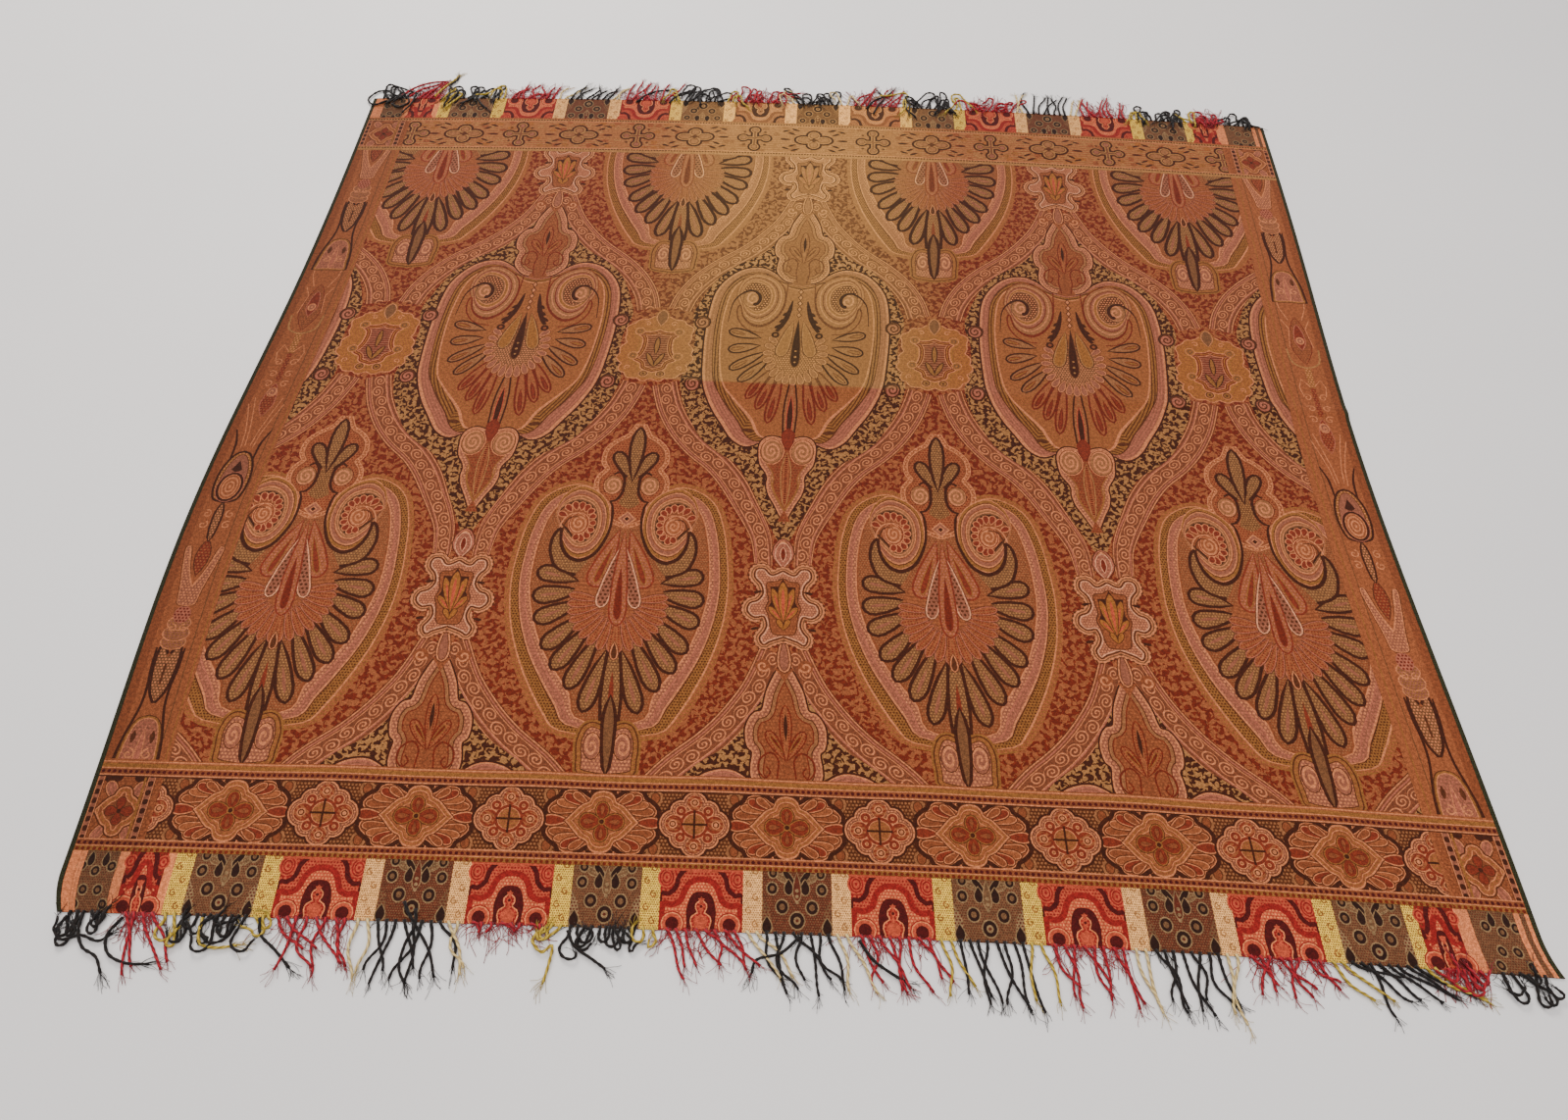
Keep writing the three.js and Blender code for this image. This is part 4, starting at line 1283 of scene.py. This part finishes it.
def draw_bell(draft):
    """The bell, its long dark outline and the seed that hangs above it."""
    for line in both((29, -640), (27, -606), (22, -575), (16, -545), (15, -515), (18, -485), (19, -455)):
        taper(draft, line, [4.6, 4.6, 3.6, 3.6, 4, 2.4], "dark")
    whole = rounded([(0, -556), (12, -560), (20, -572), (25, -595), (27, -622), (27, -640), (0, -640)])
    draft.contours(whole, [(0, "umber"), (-1.4, "gold"), (-4, "light"),
                           (-5.4, "pink", "stipple", "rose", 5)])
    for tip in (-1, 1):
        hook(draft, tip * 12, -612, 8, 90, tip * 420, 2.2, "light")
        draft.lay(leaf((tip * 12, -578), (tip * 13, -597), 7, 0.5, 0.5), "umber")
    draft.petal((0, -574), (0, -636), 8, [(1.2, "light")], "rose", "plain")
    seed = rounded([(0, -470), (5, -462), (11, -452), (14, -470), (12, -500), (8, -522), (0, -537)])
    draft.rimmed(seed, [(4, "dark")], "moss", "stipple", "light", 4.4)
    draft.band([(0, -480), (0, -512)], 3, "umber")


def draw_bowl(draft):
    """The ruff of scrolls and the bowl with its red flame."""
    for y, radius in ((-446, 18), (-432, 19), (-416, 17)):
        draft.lay(disc((0, y), radius, 16, 0.7), "light")
        draft.lay(disc((0, y), radius - 1.8, 16, 0.7), "pink", "stipple", "gold", 4.4)
    for tip in (-1, 1):
        hook(draft, tip * 8, -424, 6.5, 90, tip * 420, 1.8, "light")
    draft.lay(disc((0, -402), 12, 12, 1.2), "rose", "stipple", "coral", 5)
    bowl = rounded([(0, -358), (6, -346), (14, -320), (21, -290), (26, -291), (22, -318), (16, -350),
                    (13, -370), (11, -384), (0, -387)])
    draft.rimmed(bowl, [(1.2, "umber"), (1.4, "light")], "pink", "stipple", "light", 4.6)
    draft.petal((0, -338), (0, -276), 19, [(1.6, "umber")], "madder", "stipple", "orange", 5, belly=0.55,
                sharp=0.5)
    for line in both((0, -356), (9, -334), (17, -310), (22, -286)):
        draft.band(line, 1.8, "light")


def draw_oval(draft):
    """The stem between scrolls, and the oval in its pointed arch."""
    for y, turn in ((-248, 60), (-228, 110)):
        for tip in (-1, 1):
            hook(draft, tip * 17, y, 7.5, turn, tip * 420, 2, "light")
    draft.petal((0, -206), (0, -276), 10, [(3, "dark")], "moss", "stipple", "light", 4.4, belly=0.4,
                sharp=0.3)
    arch = rounded([(0, -106), (12, -112), (22, -132), (26, -156), (25, -182), (18, -202), (0, -208)])
    draft.contours(arch, [(0, "dark"), (-3.6, "gold", "stipple", "light", 5), (-7, "umber"),
                          (-8.2, "pink")])
    draft.lay([(0, -126), (8, -144), (0, -150), (-8, -144)], "dark")
    draft.spot((0, -177), 14, [(1.3, "rose"), (4, "dark"), (1.2, "light")], "orange", "rings", "light",
               4.8, 1.62, 18)
    for line in both((17, -124), (18, -100), (20, -86), (27, -64)):
        taper(draft, line, [3, 4, 2.4], "dark")
    for line in both((9, -100), (12, -70), (19, -40), (28, -10)) + both((4, -96), (7, -66), (14, -30),
                                                                        (22, 4)):
        draft.band(line, 1.5, "light")


def draw_flame(draft):
    """The flame, its chain of scrolls and the lattice round the bud."""
    draft.petal((0, -36), (0, 34), 20, [(1.4, "rose")], "madder", "stipple", "orange", 5, belly=0.42,
                sharp=0.5)
    draft.spot((0, 16), 7, [(1.4, "light")], "pink", "spiral", "light", 5, 1.3, 12)
    for y in (34, 56, 82):
        for tip in (-1, 1):
            hook(draft, tip * 13, y, 8, 90 - tip * 50, tip * 420, 1.8, "light")
    draft.band([(0, 40), (0, 110)], 8, "madder", "stipple", "orange", 5)
    draft.band([(0, 104), (0, 150)], 11, "gold", "stipple", "light", 5)
    for line in both((3, 106), (16, 122), (22, 104), (18, 84)):
        draft.band(line, 1.8, "light")
    draft.band(curve([(-27, 192), (-22, 160), (0, 149), (22, 160), (27, 192)], steps=3), 3, "tan")
    draft.petal((0, 156), (0, 268), 34, [(1.4, "coral")], "rust", "stipple", "orange", 5, belly=0.4,
                sharp=0.7)
    draft.petal((0, 190), (0, 250), 17, [(1.6, "rose")], "madder", "plain", belly=0.4, sharp=0.5)
    draft.spot((0, 212), 6, [(1.3, "light")], "pink", "rings", "light", 4.4, 1.3, 12)
    for line in both((20, 196), (14, 240), (24, 262)) + both((12, 262), (22, 290), (26, 330)):
        draft.band(line, 1.6, "light")


def draw_side(draft, axis, side):
    draft.at(axis, side, 0)
    for x, width, dye in ((6, 13, "rust"), (71, 9, "orange"), (66, 1.6, "olive"), (77, 1.6, "gold")):
        draft.band([(x, -760), (x, 760)], width, dye)
    for lift in (0.0, REPEAT):
        draft.at(axis + side * SIDE_MIDDLE, side, lift)
        draw_bell(draft)
        draw_bowl(draft)
        draw_oval(draft)
        draw_flame(draft)
    # Guard stripes and a lobed rosette in the corner blocks.
    for low, high in ((-742, -628), (648, 750)):
        draft.at(axis, side, 0)
        draft.lay([(0, low), (84, low), (84, high), (0, high)], "rust", "stipple", "orange", 5)
        draft.at(axis + side * SIDE_MIDDLE, side, (low + high) / 2 - 4)
        for tip in (-1, 1):
            for up in (1, -1):
                draft.lay(disc((tip * 20, up * 44), 13, 12, 0.5), "dark")
                draft.petal((tip * 8, up * 12), (tip * 22, up * 38), 12,
                            [(1.2, "umber"), (1.5, "light")], "pink", "lines", "rose", 5)
        whole = quarters(np.multiply(curve(ROSETTE, steps=3), (0.72, 0.86)))
        draft.contours(whole, [(2, "umber"), (0, "light"), (-1.8, "orange", "stipple", "gold", 4.4),
                               (-7, "light"), (-8.4, "rust")])
        for tip, width in (((0, 18), 11), ((0, -18), 11), ((17, 0), 13), ((-17, 0), 13)):
            draft.petal((0, 0), tip, width, [(1.2, "umber")], "madder", "plain")
        draft.lay(disc((0, 0), 3, 8), "dark")
        draft.at(axis, side, 0)
        for x, width in ((4.5, 6), (68, 7)):
            draft.band([(x, low), (x, high)], width + 4, "umber")
            draft.band([(x, low), (x, high)], width + 2.4, "light")
            draft.band([(x, low), (x, high)], width, "pink", "beads", "dark", 12)
        draft.band([(60, low), (60, high)], 3, "gold")
    for y, width, dye, *figure in NEAR_GUARDS + FAR_GUARDS:
        draft.band([(0, y), (90, y)], width, dye, *figure)


for name, node, low, high, axis, side, width in (
        ("left_side_border", "side_border_left", LEFT_SELVEDGE, LEFT_FIELD, LEFT_SELVEDGE, 1, 0.082),
        ("right_side_border", "side_border_right", RIGHT_FIELD, RIGHT_SELVEDGE, RIGHT_SELVEDGE, -1, 0.088)):
    side_draft = Draft((low + SEAM / 2, NEAR_GATE + SEAM / 2), (high - SEAM / 2, FAR_GATE - SEAM / 2),
                       ("orange",), grid=18)
    draw_side(side_draft, axis, side)
    side_piece = shell(name, side_draft.cut(), field_wool, [node])


# %% [markdown]
# The gates are the bright blocks at both ends, where the warps are dyed in turn: dark, red, and a pale
# stripe between. A red block holds nested arches over a small flower; a dark block holds rings and seeds.

# %% Gate strips
BLOCK_MIDDLE, BLOCK_STEP, PALE_PLACE = -1, 115, 53.5
ARCH = [(0, 86), (15, 81), (26, 73), (32, 63), (34, 53), (41, 46), (53, 43), (53, -4)]
RED_ARCH = [(0, 66), (11, 64), (20, 57), (25, 47), (28, 38), (36, 34), (50, 33), (50, -4)]
ARCH_HEART = [(0, 47), (8, 46), (13, 41), (16, 33), (18, 22), (17, 10), (17, -4)]
RED_FLOWER = [(0, 41), (3, 36), (7, 32), (7, 26), (5, 22), (11, 18), (13, 11), (11, 4), (11, -2)]


def draw_red_block(draft, share=1.0):
    def outline(points, reach=0.0):
        return np.clip(grown(rounded(points, 2) * (share, 1), reach), -50 * share, (50 * share, 90))
    for side in (1, -1):
        draft.spot((side * 43 * share, 63), 6 * share + 1, [(2, "flame"), (2, "crimson")], "flame",
                   "rings", "crimson", 4, 1.3, 12)
    draft.lay(outline(ARCH), "maroon")
    draft.lay(outline(ARCH, -6), "flame", "stipple", "crimson", 4)
    draft.lay(outline(RED_ARCH), "crimson")
    draft.lay(outline(RED_ARCH, -7.5), "flame", "stipple", "salmon", 4)
    for side in (1, -1):
        draft.rimmed(disc((side * 34 * share, 8), 8, 12), [(1.5, "crimson"), (1.5, "salmon"), (4, "flame")],
                     "maroon")
    draft.lay(outline(ARCH_HEART), "maroon")
    for reach, dye, *figure in ((0, "salmon"), (-1.5, "crimson", "stipple", "flame", 4), (-4.5, "flame")):
        draft.lay(outline(RED_FLOWER, reach), dye, *figure)
    draft.lay(disc((0, 29), 2, 7), "maroon")


def ring(draft, x, y, radius, dye="ink", inside="walnut", tall=1.15):
    draft.lay(disc((x, y), radius + 1.6, 14, tall), "ecru")
    draft.lay(disc((x, y), radius, 14, tall), dye)
    draft.lay(disc((x, y), radius * 0.5, 10, tall), inside)


def draw_dark_block(draft, kind):
    ground = "ecru" if kind == "straw" else "walnut"
    for side in (1, -1):
        draft.lay([(side * 22, -4), (side * 42, -4), (side * 42, 44), (side * 33, 30), (side * 30, 12)],
                  ground, "stipple", "brick", 4)
        draft.petal((0, 60), (side * 24, 70), 9, [(1.2, "ecru")], "walnut", "veins", "ecru", 4)
        draft.petal((0, 56), (side * 16, 76), 7, [(1.2, "ecru")], "ink", "plain")
        ring(draft, side * 30, 54, 6)
        ring(draft, side * 29, 73, 5)
        draft.rimmed(leaf((side * 10, 66), (side * 10, 47), 10, 0.6), [(1.3, "ecru")], "ink")
        ring(draft, side * 18, 32, 7)
        draft.rimmed(leaf((side * 36, 20), (side * 36, 0), 11, 0.6), [(1.3, "ecru")], "ink")
    draft.petal((0, 74), (0, 40), 9, [(1.4, "ecru")], "brick" if kind == "cream" else "walnut", "plain")
    for y in (52, 45, 38):
        draft.lay(disc((0, y), 2.4, 7), "ecru")
    ring(draft, 0, 16, 8.5, inside="ecru")
    draft.lay(disc((0, 16), 2, 7), "brick")


def draw_gates(draft, hem, up):
    draft.lay([(-900, hem - 90), (900, hem - 90), (900, hem + 90), (-900, hem + 90)], "salmon")
    def block(x, width, dye, *figure):
        draft.at(x, 1, hem, up)
        draft.lay([(-width / 2, -5), (width / 2, -5), (width / 2, 90), (-width / 2, 90)], dye, *figure)
    def stripe(x, width, dye, mark):
        block(x, width, dye, "stipple", mark, 2.8)
        for y in range(10, 80, 16):
            hook(draft, (-1) ** (y // 16) * 4, y, 5, 90, 400, 1.8, mark)
    for k in range(-6, 7):
        x = BLOCK_MIDDLE + BLOCK_STEP * k
        if k % 2 == 0:
            kind = "cream" if k % 4 == 0 else "straw"
            for side in (-1, 1):
                stripe(x + side * PALE_PLACE, 23.5, kind, "tan" if kind == "cream" else "gold")
            block(x, 84, "brick" if kind == "cream" else "walnut", "stipple",
                  "brick" if kind == "straw" else "walnut", 3)
            draw_dark_block(draft, kind)
        else:
            block(x, 100, "crimson", "stipple", "flame", 5.5)
            draw_red_block(draft)
            draft.lay([(-52, 72), (52, 72), (52, 90), (-52, 90)], "flame")
    for side, red, between, dark, wide in ((-1, -790, -818, -849, 48), (1, 770, 802, 845, 68)):
        stripe(between, 22, "salmon", "light")
        block(red, 47, "crimson", "stipple", "madder", 5)
        draw_red_block(draft, 0.46)
        block(dark, wide, "walnut", "stipple", "brick", 3)
        for x, y in ((-18, 56), (18, 56), (0, 50), (-9, 27), (9, 27), (-18, 10), (18, 10)):
            ring(draft, x, y, 5)
        for x in (-9, 9):
            draft.rimmed(leaf((x, 74), (x, 56), 8, 0.6), [(1.2, "ecru")], "ink")
        block(side * 869, 7, "salmon")
        block(side * 869, 2, "light")


gate_pieces = {}
for end, node, low, high, up, length in (
        ("near", "gate_near", NEAR_EDGE, NEAR_GATE - SEAM / 2, 1, 0.075),
        ("far", "gate_far", FAR_GATE + SEAM / 2, FAR_EDGE, -1, 0.064)):
    gate_draft = Draft((LEFT_SELVEDGE + SEAM / 2, low), (RIGHT_SELVEDGE - SEAM / 2, high), ("crimson",),
                       grid=18)
    draw_gates(gate_draft, low if up > 0 else high, up)
    gate_pieces[end] = shell(f"{end}_gates", gate_draft.cut(), field_wool, [node]), length

# %% [markdown]
# The selvedges are two narrow strips of dark green, each made as a thin shell of its own beside the
# side border that it finishes.

# %% Selvedges
for name, node, low, high in (("left_selvedge", "selvedge_left", -HALF_WIDTH, LEFT_SELVEDGE - SEAM / 2),
                              ("right_selvedge", "selvedge_right", RIGHT_SELVEDGE + SEAM / 2, HALF_WIDTH)):
    edge_draft = Draft((low, NEAR_EDGE), (high, FAR_EDGE), ("bottle", "stipple", "ink", 3.0), grid=6)
    shell(name, edge_draft.cut(), field_wool, [node])

# %% [markdown]
# The fringe is the warp itself, left long past the last pick and twisted by hand into two-ply cords. Some
# blocks still hang straight, some have curled back on themselves into loops and tangles, and their ends
# have come apart into single hairs. Each row of the tables is one block from left to right, with the same
# lies as the plain strands and more cords.

# %% Fringe tables
NEAR_LIES = [(27, 4, 0, 14), (68, 16, 12, 0), (22, 4, 0, 13), (62, 14, 10, 0), (66, 12, -8, 0),
             (11, 20, 0, 0), (16, 6, 0, 9), (52, 22, 8, 0), (70, 16, 14, 0), (66, 14, 10, 0),
             (70, 6, 4, 0), (60, 8, 18, 0), (68, 6, 10, 0), (48, 8, 8, 0), (62, 34, 26, 0),
             (10, 10, 0, 26), (18, 10, 0, 10)]
FAR_LIES = [(24, -12, 0, 52), (56, 16, 8, 0), (26, 8, 0, 46), (44, 6, 20, 0), (40, 18, 20, 0),
            (54, 2, 12, 0), (24, 6, 0, 34), (30, -6, 0, 26), (28, -2, 0, 24), (58, 14, 16, 0),
            (26, -4, 0, 46), (24, 12, 0, 16), (56, 0, 14, 0), (54, -12, 20, 0), (22, 8, 0, 34),
            (20, 14, 0, 24), (20, 14, 0, 30)]
LONE_CORDS = {
    "near": [
        ("dark", [(-852, -818), (-850, -838), (-838, -856), (-818, -866), (-806, -884)]),
        ("dark", [(-872, -820), (-880, -838), (-868, -848), (-846, -842), (-822, -848), (-808, -838)]),
        ("dark", [(-800, -820), (-812, -842), (-804, -862), (-780, -872), (-752, -872)]),
        ("dark", [(-690, -816), (-704, -828), (-690, -846), (-672, -842), (-664, -826)]),
        ("dark", [(-636, -816), (-630, -836), (-610, -852), (-588, -872)]),
        ("dark", [(-455, -800), (-452, -820), (-460, -842), (-462, -868), (-452, -886)]),
        ("dark", [(-470, -792), (-462, -806), (-448, -824), (-430, -850), (-420, -878)]),
        ("dark", [(-272, -820), (-262, -838), (-240, -852), (-224, -862)]),
        ("straw", [(-300, -818), (-312, -832), (-300, -846), (-288, -838), (-290, -860), (-294, -880)]),
        ("straw", [(-704, -818), (-700, -846), (-680, -852), (-656, -848)]),
        ("dark", [(2, -818), (-20, -838), (-48, -846), (-54, -862)]),
        ("dark", [(72, -820), (88, -842), (112, -858), (128, -866)]),
    ],
    "far": [
        ("dark", [(-744, 812), (-740, 836), (-748, 852), (-738, 868), (-736, 884)]),
        ("straw", [(-770, 814), (-758, 842), (-744, 868), (-738, 884)]),
        ("red", [(-820, 814), (-800, 838), (-780, 850), (-764, 862)]),
        ("red", [(-838, 814), (-812, 846), (-786, 862), (-760, 868)]),
        ("dark", [(-862, 800), (-884, 786), (-900, 806), (-888, 832), (-872, 838)]),
        ("dark", [(-850, 790), (-834, 778), (-818, 796), (-830, 818), (-852, 822)]),
        ("dark", [(-366, 800), (-350, 822), (-330, 838), (-304, 846)]),
        ("dark", [(-300, 800), (-290, 818), (-262, 836), (-236, 842)]),
        ("dark", [(110, 784), (120, 812), (132, 836), (124, 856)]),
        ("dark", [(96, 800), (112, 826), (138, 846), (152, 866)]),
    ],
}
CORD_RADIUS, PLY_TURN = 1.9, 10.0
END_BLOCKS = {"red": (782, 22), "dark": (847, 27)}


def fringe_blocks(lies):
    """Middle, half width of the dark or red part, tone, pale colour and lie of each block."""
    made = []
    for i, lie in enumerate(lies):
        k = i - 8
        tone = "red" if k % 2 else "dark"
        if abs(k) <= 6:
            pale = None if k % 2 else ("cream" if k % 4 == 0 else "straw")
            made.append((BLOCK_MIDDLE + BLOCK_STEP * k, 46 if k % 2 else 42, tone, pale, lie))
        else:
            place, half = END_BLOCKS[tone]
            made.append((BLOCK_MIDDLE + math.copysign(place, k), half, tone, None, lie))
    return made


# %% [markdown]
# A cord is a tube whose radius swells twice round its girth, and that swelling turns along the cord, so
# that it reads as two plies. It walks over the floor with some chance in its way, and may turn back.

# %% Twisted cords
class Yarns:
    """Grows cords and loose hairs as tubes, collected for one piece."""
    def __init__(self, seed):
        self.luck = np.random.default_rng(seed)
        self.places, self.faces, self.ways = [], [], []

    def tube(self, path, radius, sides, twist=0.0):
        path = np.array(path, float)
        way = np.gradient(path, axis=0)
        way /= np.linalg.norm(way, axis=1)[:, None] + 1e-9
        beside = np.cross(way, (0, 0, 1))
        beside /= np.linalg.norm(beside, axis=1)[:, None] + 1e-9
        above = np.cross(beside, way)
        walked = np.concatenate([[0], np.cumsum(np.linalg.norm(np.diff(path, axis=0), axis=1))])
        radius = np.broadcast_to(radius, len(path))
        first = len(self.places)
        for i, (p, r) in enumerate(zip(path, radius)):
            for k in range(sides):
                a = 2 * math.pi * k / sides
                ply = 1 + (0.24 * math.cos(2 * a - 2 * math.pi * walked[i] / twist) if twist else 0)
                self.places.append(p + (beside[i] * math.cos(a) + above[i] * math.sin(a)) * r * ply)
                self.ways.append((walked[i], a, 0.0))
        for i in range(len(path) - 1):
            for k in range(sides):
                a, b = first + i * sides + k, first + i * sides + (k + 1) % sides
                self.faces.append((a, b, b + sides, a + sides))
        last = first + (len(path) - 1) * sides
        self.faces.append(tuple(range(first + sides - 1, first - 1, -1)))
        self.faces.append(tuple(range(last, last + sides)))

    def walk(self, start, heading, length, turn, outward, step=4.5, wobble=14.0, lift=0.0):
        """A line over the floor from start: heading and turn in degrees to the right of straight out."""
        count = max(3, round(length / step))
        sway = self.luck.normal(0, wobble, 3)
        s = (np.arange(count) + 0.5) / count
        bend = heading + turn * s + sway[0] * np.sin(math.pi * s) + sway[1] * np.sin(2 * math.pi * s)
        a = np.radians(bend)
        steps = np.stack([np.sin(a), np.cos(a) * outward, np.zeros(count)], 1) * length / count
        path = np.vstack([[start], np.array(start) + np.cumsum(steps, axis=0)])
        path[:, 2] += lift * np.sin(math.pi * np.linspace(0, 1, count + 1))
        return path

    def fray(self, path, outward, hairs=7, length=16.0):
        way = path[-1] - path[-2]
        heading = math.degrees(math.atan2(way[0], way[1] * outward))
        for _ in range(hairs):
            start = path[-1 - int(self.luck.integers(0, 3))]
            line = self.walk(start, heading + self.luck.normal(0, 16), length * self.luck.uniform(0.5, 1.3),
                             self.luck.normal(0, 25), outward, 4.0, 10.0)
            line[:, 2] = np.maximum(line[:, 2] * np.linspace(1, 0.3, len(line)), 0.35)
            self.tube(line, 0.28, 3)

    def lone(self, points, outward, radius=CORD_RADIUS):
        """A single cord through points on the floor, frayed at its end."""
        flat = curve(points, steps=5)
        place = np.stack(laid(flat[:, 0], flat[:, 1]), 1)
        high = np.interp(np.linspace(0, 1, len(flat)), [0, 0.25, 0.7, 1],
                         [radius + 2.6, radius + 3, radius + 1.4, radius])
        path = np.column_stack([place, high])
        self.tube(path, radius * np.linspace(1, 0.86, len(path)), 8, PLY_TURN)
        self.fray(path, outward, 12, 20)

    def wisps(self, middle, half, edge, outward, count, length):
        """Loose broken hairs along a stretch of the edge."""
        for _ in range(count):
            x = middle + self.luck.uniform(-half, half)
            px, py = (float(v) for v in laid(np.array(x), np.array(edge)))
            line = self.walk((px, py - outward * 2, 2.2), self.luck.normal(0, 30),
                             length * self.luck.uniform(0.3, 1.2), self.luck.normal(0, 50), outward, 4.5,
                             24)
            line[:, 2] = np.maximum(line[:, 2] * np.linspace(1, 0.3, len(line)), 0.5)
            self.tube(line, 0.4, 3)

    def cord(self, x, edge, lie, outward, radius=CORD_RADIUS, hairs=7):
        """A cord from x on the hem: out, leaning and turning, and back over a loop where it has one."""
        out, lean, turn, back = lie
        luck = self.luck
        px, py = (float(v) for v in laid(np.array(x), np.array(edge)))
        start = (px, py - outward * 2.0, radius + 1.2)
        length = out * (1 + 0.1 * math.sin(x)) * luck.uniform(0.86, 1.12) + 2
        if back:
            length *= luck.uniform(0.5, 1.5)
            lean += luck.normal(0, 16)
        path = self.walk(start, lean + luck.normal(0, 6), length, turn + luck.normal(0, 8), outward)
        if back:
            way = path[-1] - path[-2]
            heading = math.degrees(math.atan2(way[0], way[1] * outward))
            r = luck.uniform(3, 10)
            side = luck.choice((-1, 1))
            round_it = self.walk(path[-1], heading, math.pi * r, side * (180 + luck.normal(0, 24)),
                                 outward, 3.5, 8.0)
            round_it[:, 2] += np.linspace(0, 2.6, len(round_it))
            heading += 180 + luck.normal(0, 24)
            home = self.walk(round_it[-1], heading, back * luck.uniform(0.8, 1.15), luck.normal(0, 18),
                             outward)
            path = np.vstack([path, round_it[1:], home[1:]])
        path[1:, 2] = np.maximum(path[1:, 2] + luck.uniform(-0.8, 0.6), radius * 1.05)
        path[:, 2] = np.minimum(path[:, 2], 6.0)
        taper = np.linspace(1.0, 0.8, len(path))
        self.tube(path, radius * taper, 8, PLY_TURN)
        self.fray(path, outward, hairs)

    def piece(self, name, material, slot, nodes):
        mesh = bpy.data.meshes.new(name)
        mesh.from_pydata((np.array(self.places) * MM).tolist(), [], self.faces)
        layer = mesh.attributes.new("way", "FLOAT_VECTOR", "POINT")
        layer.data.foreach_set("vector", np.array(self.ways, np.float32).ravel())
        mesh.polygons.foreach_set("use_smooth", [True] * len(mesh.polygons))
        made = bpy.data.objects.new(name, mesh)
        scene.collection.objects.link(made)
        mesh.materials.append(material)
        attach(made, "root")
        if nodes:
            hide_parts(*nodes)
        print(name, len(self.faces), "faces")
        return made


def yarn_material(name, pale, deep_fibre_and_ply_shade):
    material, start = new_material(name)
    along, around, _ = start.out("ShaderNodeAttribute", {"attribute_name": "way"}, take=1).axes()
    # The pale and deep colours follow the twist: painted light on one flank of each ply and painted shade
    # on the other, half mixed with random fibre tone.
    groove = (around * 2 - along * (2 * math.pi / PLY_TURN)).sine()
    fuzz = start.out("ShaderNodeTexNoise", Vector=start.out("ShaderNodeTexCoord", take=3), Scale=420.0,
                     Detail=2.0)
    share = (groove * 0.5 + 0.5) * 0.5 + fuzz * 0.5
    colour = start.out("ShaderNodeMix", {"data_type": "RGBA"}, take=2, i0=share.ramp(0.25, 0.75),
                       i6=(*deep_fibre_and_ply_shade, 1), i7=(*pale, 1))
    bump = start.out("ShaderNodeBump", Height=fuzz, Strength=0.3, Distance=0.0005)
    skin = start.node("ShaderNodeBsdfPrincipled", Base_Color=colour, Roughness=0.8, Normal=bump)
    skin.inputs["Sheen Weight"].default_value = 0.1
    skin.inputs["Sheen Roughness"].default_value = 0.4
    skin.inputs["Specular IOR Level"].default_value = 0.2
    output = start.node("ShaderNodeOutputMaterial")
    material.node_tree.links.new(skin.outputs[0], output.inputs[0])
    return material


# %% [markdown]
# Each colour of cord at each end is one piece, so eight in all. The dark and red ones stand in for the
# plain strands.

# %% Grow the fringe
# Each yarn has a pale and a deep colour: painted light and shade along the twist, and random fibre tone.
YARN_DYES_LIT_AND_SHADED = {"dark": ((26, 18, 14), (10, 7, 6)), "red": ((150, 22, 34), (96, 6, 16)),
             "straw": ((172, 146, 48), (118, 94, 22)), "cream": ((200, 176, 120), (150, 126, 80))}
SLOTS = {"dark": "dark_yarn", "red": "red_yarn", "straw": "yellow_yarn", "cream": "cream_yarn"}
wools = {tone: yarn_material(f"{tone}_yarn", linear(*pale), linear(*deep_fibre_and_ply_shade))
         for tone, (pale, deep_fibre_and_ply_shade) in YARN_DYES_LIT_AND_SHADED.items()}
for end, lies, edge, outward, seed in (("near", NEAR_LIES, NEAR_EDGE, -1, 3),
                                       ("far", FAR_LIES, FAR_EDGE, 1, 5)):
    yarns = {tone: Yarns(seed * 10 + i) for i, tone in enumerate(YARN_DYES_LIT_AND_SHADED)}
    for middle, half, tone, pale, lie in fringe_blocks(lies):
        out, lean, turn, back = lie
        count = round(half / (4.4 if back else 5.5))
        for i in range(count):
            x = middle - half + 2 * half * (i + 0.5) / count
            bunch = middle - half + 2 * half * (i // 3 * 3 + 1.5) / count
            toward = 0 if back else math.degrees(math.atan((bunch - x) / out))
            yarns[tone].cord(x, edge, (out, lean + 0.8 * toward, turn, back), outward)
        if tone == "red":
            yarns[tone].wisps(middle, half, edge, outward, 60 if end == "near" else 90,
                              40 if end == "near" else 52)
        else:
            yarns[tone].wisps(middle, half, edge, outward, 14, 22)
        if pale:
            for side in (-1, 1):
                for offset in (-6, 5):
                    yarns[pale].cord(middle + side * PALE_PLACE + offset, edge, lie, outward)
    for tone, points in LONE_CORDS[end]:
        yarns[tone].lone(points, outward)
    for i, tone in enumerate(YARN_DYES_LIT_AND_SHADED):
        nodes = [f"fringe_{end}_{k:02d}" for k in range(1, 18) if k % 2 != i] if i < 2 else []
        yarns[tone].piece(f"{end}_{tone}_fringe", wools[tone], SLOTS[tone], nodes)
    gate_piece, length = gate_pieces[end]
